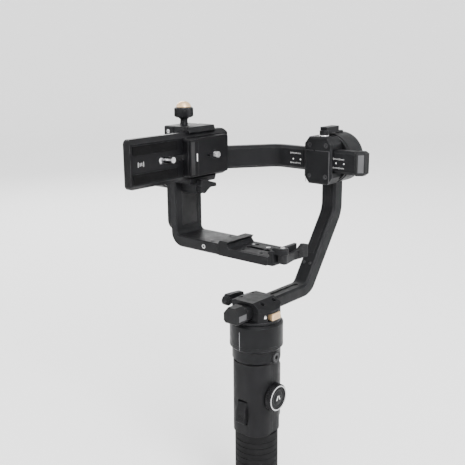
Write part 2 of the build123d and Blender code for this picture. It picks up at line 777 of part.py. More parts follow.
with BuildPart() as roll_clamp_base:
    with BuildSketch(Plane.XZ.offset(-ROLL_DISC_Y)):
        with Locations((0, AXIS_Z)):
            Polygon(*box_outline, align=None)
    extrude(amount=ROLL_DISC_Y - BOX_SPLIT)
    with BuildSketch(Plane.YZ.offset(-30)):
        with Locations(((ROLL_ARM_BACK + SLIDE_GAP + 100) / 2, AXIS_Z)):
            Rectangle(
                ROLL_ARM_BACK + SLIDE_GAP - 100, 2 * (ROLL_ARM_HALF_H + SLIDE_GAP))
    extrude(amount=60, mode=Mode.SUBTRACT)
    with BuildSketch(Plane.XZ.offset(-BOX_SPLIT)):
        with Locations(*box_screw_places):
            Circle(1.3)
    extrude(amount=-9, mode=Mode.SUBTRACT)
    with BuildSketch(Plane.XY.offset(AXIS_Z + BOX_HALF_H)):
        with Locations((ROLL_LEVER_X, ROLL_LEVER_Y)):
            Circle(2.06)
    extrude(amount=-8, mode=Mode.SUBTRACT)
roll_clamp_base.part.label = "roll_clamp_base"
export_step(roll_clamp_base.part, "parts/roll_clamp_base.step")

with BuildPart() as roll_clamp_cover:
    with BuildSketch(Plane.XZ.offset(-BOX_SPLIT)):
        with Locations((0, AXIS_Z)):
            Polygon(*box_outline, align=None)
    extrude(amount=BOX_SPLIT - BOX_FRONT)
    chamfer(roll_clamp_cover.faces().sort_by(Axis.Y)[0].edges(), 1.6)
    with BuildSketch(Plane.XZ.offset(-BOX_SPLIT - 1)):
        with Locations(*box_screw_places):
            Circle(1.35)
    extrude(amount=8, mode=Mode.SUBTRACT)
    with BuildSketch(Plane.XZ.offset(-BOX_FRONT - 2.2)):
        with Locations(*box_screw_places):
            Circle(2.7)
    extrude(amount=6, mode=Mode.SUBTRACT)
roll_clamp_cover.part.label = "roll_clamp_cover"
export_step(roll_clamp_cover.part, "parts/roll_clamp_cover.step")

roll_clamp_screws = socket_screws(
    Plane.XZ.offset(-BOX_FRONT - 2.2), box_screw_places, 2.6, 2.0, 1.25, 9)
roll_clamp_screws.part.label = "roll_clamp_screws"
export_step(roll_clamp_screws.part, "parts/roll_clamp_screws.step")

with BuildPart() as roll_lever:
    with BuildSketch(Plane.XY.offset(AXIS_Z + BOX_HALF_H + 0.3)):
        with Locations((ROLL_LEVER_X, ROLL_LEVER_Y)):
            Circle(5)
    extrude(amount=6.5)
    with BuildSketch(Plane.XY.offset(AXIS_Z + BOX_HALF_H + 3.6)):
        with BuildLine():
            FilletPolyline(
                (-1.5, 116), (-2.5, 141), (8.5, 141), (7.5, 116), radius=[0, 3, 3, 0], close=True)
        make_face()
    extrude(amount=7)
    with BuildSketch(Plane.XY.offset(AXIS_Z + BOX_HALF_H + 0.3)):
        with Locations((ROLL_LEVER_X, ROLL_LEVER_Y)):
            Circle(2)
    extrude(amount=-7)
roll_lever.part.label = "roll_lever"
export_step(roll_lever.part, "parts/roll_lever.step")

# ---------------------------------------------------------------- roll arm
bend_run = 117.5  # length of the slanted part, measured along its front face
ux = cos(radians(BEND_ANGLE))
uy = sin(radians(BEND_ANGLE))
thick = ROLL_ARM_BACK - ROLL_ARM_FRONT
back_bend_x = BEND_X - thick * (1 - ux) / uy
front_end = (BEND_X - ux * bend_run, ROLL_ARM_FRONT - uy * bend_run)
back_end = (front_end[0] - uy * thick, front_end[1] + ux * thick)

with BuildPart() as roll_arm:
    with BuildSketch(Plane.XY.offset(AXIS_Z - ROLL_ARM_HALF_H)):
        with BuildLine():
            FilletPolyline(
                (ROLL_ARM_END, ROLL_ARM_FRONT), (BEND_X, ROLL_ARM_FRONT), front_end, back_end,
                (back_bend_x, ROLL_ARM_BACK), (ROLL_ARM_END, ROLL_ARM_BACK),
                radius=[0, 12, 0, 0, 26, 0], close=True)
        make_face()
    extrude(amount=2 * ROLL_ARM_HALF_H)
    chamfer(roll_arm.faces().filter_by(Axis.Z).edges().filter_by(
        lambda e: e.center().X > front_end[0] + 4), 3.2)
    add(motor_cup(tilt_mouth, 1.2).part)
    add(cup_space(tilt_mouth).part, mode=Mode.SUBTRACT)
roll_arm.part.label = "roll_arm"
export_step(roll_arm.part, "parts/roll_arm.step")

with BuildPart() as roll_arm_end_cap:
    with BuildSketch(Plane.XY.offset(AXIS_Z - ROLL_ARM_HALF_H - 0.6)):
        Polygon(
            (ROLL_ARM_END, ROLL_ARM_FRONT - 0.6), (ROLL_ARM_TIP - 6.5, ROLL_ARM_FRONT - 0.6),
            (ROLL_ARM_TIP, ROLL_ARM_FRONT + 5.9), (ROLL_ARM_TIP, ROLL_ARM_BACK + 0.6),
            (ROLL_ARM_END, ROLL_ARM_BACK + 0.6), align=None)
    extrude(amount=2 * ROLL_ARM_HALF_H + 1.2)
    chamfer(
        roll_arm_end_cap.faces().filter_by(Axis.Z).edges().filter_by(
            lambda e: e.center().X > ROLL_ARM_END + 0.5), 2.6)
roll_arm_end_cap.part.label = "roll_arm_end_cap"
export_step(roll_arm_end_cap.part, "parts/roll_arm_end_cap.step")

tilt_motor_cover = motor_cover(tilt_mouth, CUP_DEPTH)
tilt_motor_cover.part.label = "tilt_motor_cover"
export_step(tilt_motor_cover.part, "parts/tilt_motor_cover.step")

tilt_stator = motor_stator(tilt_mouth)
tilt_stator.part.label = "tilt_stator"
export_step(tilt_stator.part, "parts/tilt_stator.step")

tilt_bearings = motor_bearings(tilt_mouth)
tilt_bearings.part.label = "tilt_bearings"
export_step(tilt_bearings.part, "parts/tilt_bearings.step")

# ---------------------------------------------------------------- tilt rotor
tilt_rotor = motor_rotor(tilt_mouth, ROTOR_DISC_R)
tilt_rotor.part.label = "tilt_rotor"
export_step(tilt_rotor.part, "parts/tilt_rotor.step")

tilt_magnets = motor_magnets(tilt_mouth)
tilt_magnets.part.label = "tilt_magnets"
export_step(tilt_magnets.part, "parts/tilt_magnets.step")

with BuildPart() as tilt_rail:
    with BuildSketch(Plane.YZ.offset(RAIL_IN)):
        with BuildLine():
            FilletPolyline(
                (-RAIL_HALF_W, RAIL_TOP), (-RAIL_HALF_W, RAIL_BOTTOM), (RAIL_HALF_W, RAIL_BOTTOM),
                (RAIL_HALF_W, RAIL_TOP), radius=[2, 13, 13, 2], close=True)
        make_face()
    extrude(amount=RAIL_OUT - RAIL_IN)
    chamfer(tilt_rail.faces().filter_by(Axis.X).edges(), 1)
    with BuildSketch(Plane.XY.offset(RAIL_BOTTOM - 1)):
        with Locations((RAIL_OUT, 0)):
            Rectangle(6, 8)
        with Locations((RAIL_OUT - 4.2, 0)):
            Rectangle(3.6, 13)
    extrude(amount=RAIL_TOP - RAIL_BOTTOM + 2, mode=Mode.SUBTRACT)
tilt_rail.part.label = "tilt_rail"
export_step(tilt_rail.part, "parts/tilt_rail.step")

# ---------------------------------------------------------------- camera bracket
with BuildPart() as l_bracket:
    with BuildSketch(Plane.XZ.offset(-BRACKET_HALF_W)):
        with BuildLine():
            FilletPolyline(
                (BRACKET_IN, BRACKET_TOP), (BRACKET_IN, TRAY_BOTTOM), (TRAY_JOIN_X, TRAY_BOTTOM),
                (TRAY_JOIN_X, TRAY_TOP), (BRACKET_OUT, TRAY_TOP), (BRACKET_OUT, BRACKET_TOP),
                radius=[0, 15, 0, 0, 5, 0], close=True)
        make_face()
    extrude(amount=2 * BRACKET_HALF_W)
    chamfer(l_bracket.faces().filter_by(Axis.Y).edges(), 1.4)
    with BuildSketch(Plane.XY.offset(RAIL_BOTTOM + 8)):
        with Locations((BRACKET_IN - 1.7, 0)):
            Rectangle(3.4, 7.2)
        with Locations((BRACKET_IN - 4.4, 0)):
            Rectangle(2.6, 12.2)
    extrude(amount=RAIL_TOP - RAIL_BOTTOM - 10)
    with BuildSketch(Plane.XZ.offset(BRACKET_HALF_W)):
        with Locations((-55, 298)):
            Circle(2.4)
    extrude(amount=-10, mode=Mode.SUBTRACT)
    with BuildSketch(Plane.YZ.offset(BRACKET_OUT)):
        with Locations((1, 337)):
            RectangleRounded(24, 48, 2)
    extrude(amount=-1.2, mode=Mode.SUBTRACT)
l_bracket.part.label = "l_bracket"
export_step(l_bracket.part, "parts/l_bracket.step")

with BuildPart() as tray_receiver:
    with BuildSketch(Plane.XZ.offset(TRAY_HALF_D)):
        Polygon(
            (TRAY_JOIN_X, TRAY_BOTTOM), (RECEIVER_END_X - 2, TRAY_BOTTOM), (RECEIVER_END_X, 294),
            (RECEIVER_END_X, FLOOR_Z), (-20, FLOOR_Z), (-23, 304.5), (-20.5, 308),
            (TRAY_JOIN_X + 2, 308), (TRAY_JOIN_X, 306), align=None)
    extrude(amount=-2 * TRAY_HALF_D)
    with BuildSketch(Plane.YZ.offset(20)):
        with Locations((-16.5, 296.5), (16.5, 296.5)):
            Circle(2.06)
    extrude(amount=20, mode=Mode.SUBTRACT)
    with BuildSketch(Plane.XY.offset(TRAY_BOTTOM)):
        with Locations((-8, -12), (-8, 12), (16, -12), (16, 12)):
            Circle(2.1)
    extrude(amount=20, mode=Mode.SUBTRACT)
    with BuildSketch(Plane.XY.offset(FLOOR_Z - 2)):
        with Locations((4, 0)):
            SlotOverall(34, 6.6)
    extrude(amount=4, mode=Mode.SUBTRACT)
tray_receiver.part.label = "tray_receiver"
export_step(tray_receiver.part, "parts/tray_receiver.step")

with BuildPart() as tray_jaw:
    with BuildSketch(Plane.XZ.offset(TRAY_HALF_D)):
        Polygon(
            (31.3, 293), (37.5, 293), (37.5, 308), (33, 308), (31, 305.6), (33.4, 303),
            (31.3, 301.3), align=None)
    extrude(amount=-2 * TRAY_HALF_D)
    fillet(tray_jaw.edges().filter_by(Axis.Z).sort_by(Axis.X)[-2:], 2.5)
    with BuildSketch(Plane.YZ.offset(21)):
        with Locations((-16.5, 296.5), (16.5, 296.5)):
            Circle(2)
    extrude(amount=11)
    with BuildSketch(Plane.XY.offset(304.6)):
        with Locations((TRAY_LEVER_X, TRAY_LEVER_Y)):
            Circle(6)
        with Locations((TRAY_LEVER_X - 4.5, TRAY_LEVER_Y)):
            Rectangle(8, 12)
    extrude(amount=6)
    fillet(tray_jaw.faces().sort_by(Axis.Z)[-1].edges(), 1.5)
    with BuildSketch(Plane.XY.offset(304)):
        with Locations((TRAY_LEVER_X, TRAY_LEVER_Y)):
            Circle(1.56)
    extrude(amount=5.4, mode=Mode.SUBTRACT)
tray_jaw.part.label = "tray_jaw"
export_step(tray_jaw.part, "parts/tray_jaw.step")

with BuildPart() as tray_lever:
    with BuildSketch(Plane.YZ.offset(TRAY_LEVER_X - 5)):
        with BuildLine():
            FilletPolyline(
                (-16, 295), (-16, 304.2), (-8, 304.2), (4, 302.6), (14, 303.6), (21, 308.6),
                (27.5, 307.6), (27.5, 294.6), (14, 294.6), radius=[1, 0.5, 0.5, 10, 8, 2.5, 2, 2, 20],
                close=True)
        make_face()
    extrude(amount=12)
    with BuildSketch(Plane.XY.offset(290)):
        with Locations((TRAY_LEVER_X, TRAY_LEVER_Y)):
            Circle(5)
        with BuildLine():
            FilletPolyline(
                (TRAY_LEVER_X - 4.9, -12), (TRAY_LEVER_X - 3.6, 6), (TRAY_LEVER_X - 1.5, 27.6),
                (TRAY_LEVER_X + 3.5, 27.6), (TRAY_LEVER_X + 1.2, 6), (TRAY_LEVER_X + 4.6, -10),
                radius=[0, 20, 1.5, 1.5, 16, 0], close=True)
        make_face()
    extrude(amount=30, mode=Mode.INTERSECT)
    with BuildSketch(Plane.XY.offset(304)):
        with Locations((TRAY_LEVER_X, TRAY_LEVER_Y)):
            Circle(1.5)
    extrude(amount=5)
tray_lever.part.label = "tray_lever"
export_step(tray_lever.part, "parts/tray_lever.step")

with BuildPart() as clamp_yoke:
    with BuildSketch(Plane.XY.offset(BRACKET_TOP)):
        with Locations((-104, 0)):
            Rectangle(18, 2 * YOKE_HALF)
    extrude(amount=YOKE_TOP - BRACKET_TOP)
    chamfer(clamp_yoke.edges().filter_by(Axis.Z), 3)
    chamfer(clamp_yoke.faces().sort_by(Axis.Z)[-1].edges(), 1.2)
    with BuildSketch(Plane.XY.offset(YOKE_TOP)):
        with Locations((KNOB_X, 0)):
            Circle(4.46)
    extrude(amount=-8.8, mode=Mode.SUBTRACT)
clamp_yoke.part.label = "clamp_yoke"
export_step(clamp_yoke.part, "parts/clamp_yoke.step")

with BuildPart() as height_knob:
    with BuildSketch(Plane.XY.offset(YOKE_TOP - 8.4)):
        with Locations((KNOB_X, 0)):
            Circle(4.4)
    extrude(amount=KNOB_BOTTOM - YOKE_TOP + 8.4)
    with BuildSketch(Plane.XY.offset(KNOB_BOTTOM)):
        with Locations((KNOB_X, 0)):
            Circle(KNOB_R)
    extrude(amount=KNOB_TOP - KNOB_BOTTOM)
    chamfer(height_knob.faces().filter_by(Axis.Z).edges().filter_by(
        lambda e: e.radius > KNOB_R - 0.1), 0.8)
    with BuildSketch(Plane.XY.offset(KNOB_BOTTOM - 1)):
        with Locations((KNOB_X, 0)):
            with PolarLocations(KNOB_R + 0.1, 26):
                Circle(0.75)
    extrude(amount=KNOB_TOP - KNOB_BOTTOM + 2, mode=Mode.SUBTRACT)
    with BuildSketch(Plane.XY.offset(KNOB_TOP)):
        with Locations((KNOB_X, 0)):
            Circle(8)
    extrude(amount=DOME_TOP - KNOB_TOP)
    fillet(height_knob.edges().group_by(Axis.Z)[-1], 4.5)
height_knob.part.label = "height_knob"
export_step(height_knob.part, "parts/height_knob.step")

PLATE_LOW = PLATE_Z - PLATE_HALF
PLATE_HIGH = PLATE_Z + PLATE_HALF

with BuildPart() as upright_receiver:
    with BuildSketch(Plane.XZ.offset(RECEIVER_HALF)):
        Polygon(
            (BRACKET_OUT, PLATE_LOW - 5), (-74.5, PLATE_LOW - 5), (-72.5, PLATE_LOW + 0.3), (-74, PLATE_LOW + 2.1), (-76.8, PLATE_LOW - 0.3),
            (RECEIVER_X, PLATE_LOW - 0.3), (RECEIVER_X, PLATE_HIGH + 0.3),
            (-76.8, PLATE_HIGH + 0.3), (-74, PLATE_HIGH - 2.1), (-72.5, PLATE_HIGH - 0.3),
            (-74.5, PLATE_HIGH + 5), (BRACKET_OUT, PLATE_HIGH + 5), align=None)
    extrude(amount=-2 * RECEIVER_HALF)
    with BuildSketch(Plane.YZ.offset(BRACKET_OUT)):
        with Locations((UPRIGHT_LEVER_Y, UPRIGHT_LEVER_Z)):
            RectangleRounded(12, 12.4, 3)
    extrude(amount=22.5)
    with BuildSketch(Plane.YZ.offset(-88)):
        with Locations((UPRIGHT_LEVER_Y, UPRIGHT_LEVER_Z)):
            Circle(2.06)
    extrude(amount=20, mode=Mode.SUBTRACT)
upright_receiver.part.label = "upright_receiver"
export_step(upright_receiver.part, "parts/upright_receiver.step")

with BuildPart() as upright_lever:
    with BuildSketch(Plane.YZ.offset(-72)):
        with Locations((UPRIGHT_LEVER_Y, UPRIGHT_LEVER_Z)):
            Circle(5.2)
        with BuildLine():
            FilletPolyline(
                (-12, 361), (-10.5, 367), (-4, 366), (12.7, 361), (13.5, 357), (4, 357.2), (-4, 352.6),
                radius=[1, 1.5, 4, 1.2, 1.2, 4, 1], close=True)
        make_face()
    extrude(amount=6)
    with BuildSketch(Plane.YZ.offset(-72)):
        with Locations((UPRIGHT_LEVER_Y, UPRIGHT_LEVER_Z)):
            Circle(2)
    extrude(amount=-15)
upright_lever.part.label = "upright_lever"
export_step(upright_lever.part, "parts/upright_lever.step")

# ---------------------------------------------------------------- quick-release plate
PLATE_MID_Y = (PLATE_FRONT_Y + PLATE_REAR_Y) / 2
PLATE_LENGTH = PLATE_REAR_Y - PLATE_FRONT_Y

with BuildPart() as quick_plate:
    with BuildSketch(Plane.XZ.offset(-PLATE_REAR_Y)):
        Polygon(
            (PLATE_BACK_X, PLATE_LOW), (-76.5, PLATE_LOW), (PLATE_PAD_X, PLATE_LOW + 4.5),
            (PLATE_PAD_X, PLATE_HIGH - 4.5), (-76.5, PLATE_HIGH), (PLATE_BACK_X, PLATE_HIGH),
            align=None)
    extrude(amount=PLATE_LENGTH)
    with BuildSketch(Plane.YZ.offset(PLATE_BACK_X)):
        with Locations((PLATE_MID_Y, PLATE_Z)):
            RectangleRounded(PLATE_LENGTH, 2 * PLATE_HALF, 5)
    extrude(amount=12, mode=Mode.INTERSECT)
    with BuildSketch(Plane.YZ.offset(PLATE_BACK_X)):
        with Locations((-17.5, PLATE_Z)):
            SlotOverall(97, 6.8)
    extrude(amount=12, mode=Mode.SUBTRACT)
    with BuildSketch(Plane.YZ.offset(PLATE_BACK_X)):
        with Locations((-17.5, PLATE_Z)):
            SlotOverall(103, 13.4)
    extrude(amount=3.4, mode=Mode.SUBTRACT)
    with BuildSketch(Plane.YZ.offset(PLATE_PAD_X)):
        with Locations((-70.5, PLATE_Z - 14), (-70.5, PLATE_Z + 14)):
            RectangleRounded(61, 9.6, 1)
    extrude(amount=-1, mode=Mode.SUBTRACT)
quick_plate.part.label = "quick_plate"
export_step(quick_plate.part, "parts/quick_plate.step")

with BuildPart() as plate_pads:
    with BuildSketch(Plane.YZ.offset(PLATE_PAD_X - 1)):
        with Locations((-70.5, PLATE_Z - 14), (-70.5, PLATE_Z + 14)):
            RectangleRounded(60.9, 9.5, 0.95)
    extrude(amount=1.7)
plate_pads.part.label = "plate_pads"
export_step(plate_pads.part, "parts/plate_pads.step")

with BuildPart() as camera_riser:
    with BuildSketch(Plane.YZ.offset(PLATE_PAD_X)):
        with Locations((-0.5, RISER_MID_Z)):
            RectangleRounded(63, 40, 3)
    extrude(amount=RISER_X - PLATE_PAD_X)
    fillet(camera_riser.faces().sort_by(Axis.X)[-1].edges(), 0.8)
    with BuildSketch(Plane.YZ.offset(RISER_X - 1)):
        with Locations((-25.3, RISER_MID_Z)):
            RectangleRounded(12.4, 38.6, 2)
    extrude(amount=4)
    fillet(camera_riser.faces().sort_by(Axis.X)[-1].edges(), 0.8)
    with BuildSketch(Plane.YZ.offset(PLATE_PAD_X - 1)):
        with Locations((STUD_Y, PLATE_Z)):
            Circle(3.3)
    extrude(amount=12, mode=Mode.SUBTRACT)
    with BuildSketch(Plane.YZ.offset(RISER_X - 1)):
        with Locations((-1.1, PLATE_Z)):
            Circle(1.5)
    extrude(amount=4.5)
camera_riser.part.label = "camera_riser"
export_step(camera_riser.part, "parts/camera_riser.step")

with BuildPart() as camera_screw:
    with BuildSketch(Plane.YZ.offset(PLATE_BACK_X + 0.4)):
        with Locations((STUD_Y, PLATE_Z), (REAR_SCREW_Y, PLATE_Z)):
            Circle(6.4)
    extrude(amount=2.9)
    with BuildSketch(Plane.YZ.offset(PLATE_BACK_X + 0.4)):
        with Locations((STUD_Y, PLATE_Z), (REAR_SCREW_Y, PLATE_Z)):
            Rectangle(9, 1.4)
    extrude(amount=1.2, mode=Mode.SUBTRACT)
    with BuildSketch(Plane.YZ.offset(PLATE_BACK_X + 3.3)):
        with Locations((STUD_Y, PLATE_Z)):
            Circle(2.6)
    extrude(amount=RISER_X + 0.2 - PLATE_BACK_X - 3.3)
    with BuildSketch(Plane.YZ.offset(RISER_X + 0.2)):
        with Locations((STUD_Y, PLATE_Z)):
            Circle(3.1)
    extrude(amount=5.6)
    with BuildSketch(Plane.YZ.offset(PLATE_BACK_X + 3.3)):
        with Locations((REAR_SCREW_Y, PLATE_Z)):
            Circle(3.1)
    extrude(amount=11.5)
camera_screw.part.label = "camera_screw"
export_step(camera_screw.part, "parts/camera_screw.step")
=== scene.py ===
from math import cos, pi, radians, sin

import bmesh
import bpy
from mathutils import Matrix, Vector


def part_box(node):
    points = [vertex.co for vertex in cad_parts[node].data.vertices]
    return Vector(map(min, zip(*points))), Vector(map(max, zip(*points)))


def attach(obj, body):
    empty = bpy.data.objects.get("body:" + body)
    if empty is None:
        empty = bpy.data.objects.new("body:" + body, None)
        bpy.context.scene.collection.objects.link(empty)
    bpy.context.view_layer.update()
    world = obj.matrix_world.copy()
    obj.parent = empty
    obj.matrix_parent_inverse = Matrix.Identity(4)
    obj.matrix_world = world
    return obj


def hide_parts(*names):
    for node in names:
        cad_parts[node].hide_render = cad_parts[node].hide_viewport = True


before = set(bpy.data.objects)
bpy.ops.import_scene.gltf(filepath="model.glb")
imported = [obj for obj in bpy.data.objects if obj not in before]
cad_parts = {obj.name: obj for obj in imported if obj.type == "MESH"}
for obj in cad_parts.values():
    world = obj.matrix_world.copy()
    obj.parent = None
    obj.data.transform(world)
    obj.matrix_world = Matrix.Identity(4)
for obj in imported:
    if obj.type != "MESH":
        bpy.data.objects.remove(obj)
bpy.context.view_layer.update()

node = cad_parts

# ---------------------------------------------------------------- studio
# A plain pale sweep stands under and all round the object, lit by large soft lamps, and the
# camera looks at it from in front, from its own left side and from a little above.


def place(name, data):
    made = bpy.data.objects.new(name, data)
    bpy.context.scene.collection.objects.link(made)
    return made


def new_material(name, colour, roughness, metallic=0.0):
    """A material with its Principled shader; the fixed values sit on the shader's own sockets."""
    made = bpy.data.materials.new(name)
    made.use_nodes = True
    shader = made.node_tree.nodes["Principled BSDF"]
    shader.inputs["Base Color"].default_value = (*colour, 1)
    shader.inputs["Roughness"].default_value = roughness
    shader.inputs["Metallic"].default_value = metallic
    return made, made.node_tree.nodes, made.node_tree.links, shader


floor_paint, _, _, _ = new_material("floor_paint", (0.96, 0.96, 0.96), 0.9)
FLOOR_R = 3.6
COVE_R = 0.9
COVE_STEPS = 8
WALL_TOP = 2.4
sweep = bmesh.new()
profile = [sweep.verts.new((0, 0, 0)), sweep.verts.new((FLOOR_R, 0, 0))]
for step in range(1, COVE_STEPS + 1):
    turn = pi / 2 * step / COVE_STEPS
    profile.append(sweep.verts.new((FLOOR_R + COVE_R * sin(turn), 0, COVE_R - COVE_R * cos(turn))))
profile.append(sweep.verts.new((FLOOR_R + COVE_R, 0, WALL_TOP)))
edges = [sweep.edges.new(pair) for pair in zip(profile, profile[1:])]
bmesh.ops.spin(
    sweep, geom=profile + edges, cent=(0, 0, 0), axis=(0, 0, 1), angle=2 * pi, steps=96,
    use_merge=True)
bmesh.ops.remove_doubles(sweep, verts=sweep.verts, dist=0.0001)
bmesh.ops.recalc_face_normals(sweep, faces=sweep.faces)
for face in sweep.faces:
    face.smooth = True
sweep_mesh = bpy.data.meshes.new("studio_sweep")
sweep.to_mesh(sweep_mesh)
sweep.free()
sweep_mesh.materials.append(floor_paint)
place("studio_sweep", sweep_mesh)

sky = bpy.data.worlds.new("studio_air")
sky.use_nodes = True
sky.node_tree.nodes["Background"].inputs["Color"].default_value = (1, 1, 1, 1)
sky.node_tree.nodes["Background"].inputs["Strength"].default_value = 1.65
bpy.context.scene.world = sky

TARGET = Vector((0, 0.03, 0.27))
for name, spot, width, watts in (
        ("key", (1.9, -0.9, 1.7), 1.1, 75),
        ("fill", (-1.6, -1.7, 1.0), 1.6, 8),
        ("top", (0.7, -0.5, 2.4), 1.6, 30),
        ("rim", (-1.6, 1.0, 1.2), 0.9, 20)):
    lamp = bpy.data.lights.new(name, "AREA")
    lamp.shape = "SQUARE"
    lamp.size = width
    lamp.energy = watts
    hung = place(name, lamp)
    hung.location = spot
    hung.rotation_euler = (TARGET - Vector(spot)).to_track_quat("-Z", "Y").to_euler()

eye = bpy.data.cameras.new("camera")
eye.sensor_width = 36
eye.lens = 58.06
eye.clip_end = 30
camera = place("camera", eye)
CAMERA_ROUND = radians(40.6)
CAMERA_DOWN = radians(13.95)
CAMERA_LEAN = radians(-0.5)
CAMERA_SPOT = Vector((0.46945, -0.58542, 0.50418))
back = Vector((
    sin(CAMERA_ROUND) * cos(CAMERA_DOWN), -cos(CAMERA_ROUND) * cos(CAMERA_DOWN), sin(CAMERA_DOWN)))
level_right = Vector((cos(CAMERA_ROUND), sin(CAMERA_ROUND), 0))
level_up = back.cross(level_right)
right = level_right * cos(CAMERA_LEAN) + level_up * sin(CAMERA_LEAN)
up = level_up * cos(CAMERA_LEAN) - level_right * sin(CAMERA_LEAN)
camera.matrix_world = Matrix((
    (*right, 0), (*up, 0), (*back, 0), (*CAMERA_SPOT, 1))).transposed()
bpy.context.scene.camera = camera


# ---------------------------------------------------------------- battery cap
# The screw-on end of the battery compartment, turned from aluminium, knurled and black anodised.
# A steel insert with a camera thread is pressed into its middle.


def new_group(name, takes, gives):
    """An empty shader group with float inputs and the outputs asked for."""
    made = bpy.data.node_groups.new(name, "ShaderNodeTree")
    for title, value in takes:
        socket = made.interface.new_socket(title, in_out="INPUT", socket_type="NodeSocketFloat")
        socket.default_value = value
    for title, kind in gives:
        made.interface.new_socket(title, in_out="OUTPUT", socket_type=kind)
    return made, made.nodes.new("NodeGroupInput"), made.nodes.new("NodeGroupOutput")


def maths(tree, operation, first, second):
    """A Math node; each value is a number or a socket."""
    made = tree.nodes.new("ShaderNodeMath")
    made.operation = operation
    for slot, value in zip(made.inputs, (first, second)):
        if isinstance(value, (int, float)):
            slot.default_value = value
        else:
            tree.links.new(value, slot)
    return made.outputs[0]


def stretch(tree, value, low, high, to_low, to_high):
    """A Map Range node from low..high to to_low..to_high, held at the ends."""
    made = tree.nodes.new("ShaderNodeMapRange")
    tree.links.new(value, made.inputs["Value"])
    ends = {"From Min": low, "From Max": high, "To Min": to_low, "To Max": to_high}
    for title, number in ends.items():
        if isinstance(number, (int, float)):
            made.inputs[title].default_value = number
        else:
            tree.links.new(number, made.inputs[title])
    return made.outputs["Result"]


def noise(tree, place_socket, scale, detail=2.0):
    made = tree.nodes.new("ShaderNodeTexNoise")
    tree.links.new(place_socket, made.inputs["Vector"])
    if isinstance(scale, (int, float)):
        made.inputs["Scale"].default_value = scale
    else:
        tree.links.new(scale, made.inputs["Scale"])
    made.inputs["Detail"].default_value = detail
    return made.outputs["Fac"]


def edge_wear_group():
    """Rounds sharp edges a little and masks the worn metal along them."""
    group, given, out = new_group(
        "edge_wear", (("Radius", 0.0006), ("Amount", 0.6)),
        (("Mask", "NodeSocketFloat"), ("Normal", "NodeSocketVector")))
    bevel = group.nodes.new("ShaderNodeBevel")
    bevel.samples = 6
    group.links.new(given.outputs["Radius"], bevel.inputs["Radius"])
    flat = group.nodes.new("ShaderNodeNewGeometry")
    product = group.nodes.new("ShaderNodeVectorMath")
    product.operation = "DOT_PRODUCT"
    group.links.new(bevel.outputs["Normal"], product.inputs[0])
    group.links.new(flat.outputs["Normal"], product.inputs[1])
    bend = maths(group, "SUBTRACT", 1.0, product.outputs["Value"])
    spot = group.nodes.new("ShaderNodeTexCoord")
    patches = noise(group, spot.outputs["Object"], scale=95.0, detail=4.0)
    rub = stretch(group, patches, low=0.42, high=0.68, to_low=0.0, to_high=1.0)
    edge = stretch(group, bend, low=0.02, high=0.16, to_low=0.0, to_high=1.0)
    rubbed_edge = maths(group, "MULTIPLY", edge, rub)
    mask = maths(group, "MULTIPLY", rubbed_edge, given.outputs["Amount"])
    group.links.new(mask, out.inputs["Mask"])
    group.links.new(bevel.outputs["Normal"], out.inputs["Normal"])
    return group


def blast_group():
    """The fine pits of a bead-blasted or spark-eroded skin, with its faint cloudiness."""
    group, given, out = new_group(
        "blasted_skin", (("Scale", 2600.0), ("Cloud", 0.3)),
        (("Height", "NodeSocketFloat"), ("Shade", "NodeSocketFloat"),
         ("Gloss", "NodeSocketFloat")))
    spot = group.nodes.new("ShaderNodeTexCoord")
    pits = noise(group, spot.outputs["Object"], given.outputs["Scale"])
    group.links.new(pits, out.inputs["Height"])
    cloud = noise(group, spot.outputs["Object"], scale=34.0, detail=5.0)
    darkest = maths(group, "SUBTRACT", 1.0, given.outputs["Cloud"])
    lightest = maths(group, "ADD", 1.0, given.outputs["Cloud"])
    shade = stretch(group, cloud, low=0.3, high=0.7, to_low=darkest, to_high=lightest)
    group.links.new(shade, out.inputs["Shade"])
    smear = noise(group, spot.outputs["Object"], scale=120.0, detail=6.0)
    gloss = stretch(group, smear, low=0.35, high=0.7, to_low=-0.06, to_high=0.07)
    group.links.new(gloss, out.inputs["Gloss"])
    return group


edge_wear = edge_wear_group()
blasted_skin = blast_group()


def worn_finish(name, colour, roughness, metallic, worn, radius=0.0006, wear=0.5, scale=2600.0,
                depth=0.00003, cloud=0.22, shine=0.1):
    """A blasted or moulded surface with rounded, slightly rubbed edges."""
    made, nodes, links, shader = new_material(name, colour, roughness, metallic)
    shader.inputs["Specular IOR Level"].default_value = shine
    tree = made.node_tree
    edge = nodes.new("ShaderNodeGroup")
    edge.node_tree = edge_wear
    edge.inputs["Radius"].default_value = radius
    edge.inputs["Amount"].default_value = wear
    skin = nodes.new("ShaderNodeGroup")
    skin.node_tree = blasted_skin
    skin.inputs["Scale"].default_value = scale
    skin.inputs["Cloud"].default_value = cloud
    tone = nodes.new("ShaderNodeMix")
    tone.data_type = "RGBA"
    tone.blend_type = "MULTIPLY"
    tone.inputs["Factor"].default_value = 1.0
    tone.inputs["A"].default_value = (*colour, 1)
    links.new(skin.outputs["Shade"], tone.inputs["B"])
    rubbed = nodes.new("ShaderNodeMix")
    rubbed.data_type = "RGBA"
    rubbed.inputs["B"].default_value = (*worn, 1)
    links.new(edge.outputs["Mask"], rubbed.inputs["Factor"])
    links.new(tone.outputs["Result"], rubbed.inputs["A"])
    links.new(rubbed.outputs["Result"], shader.inputs["Base Color"])
    links.new(maths(tree, "ADD", roughness, skin.outputs["Gloss"]), shader.inputs["Roughness"])
    bump = nodes.new("ShaderNodeBump")
    bump.inputs["Distance"].default_value = depth
    bump.inputs["Strength"].default_value = 0.6
    links.new(skin.outputs["Height"], bump.inputs["Height"])
    links.new(edge.outputs["Normal"], bump.inputs["Normal"])
    links.new(bump.outputs["Normal"], shader.inputs["Normal"])
    return made


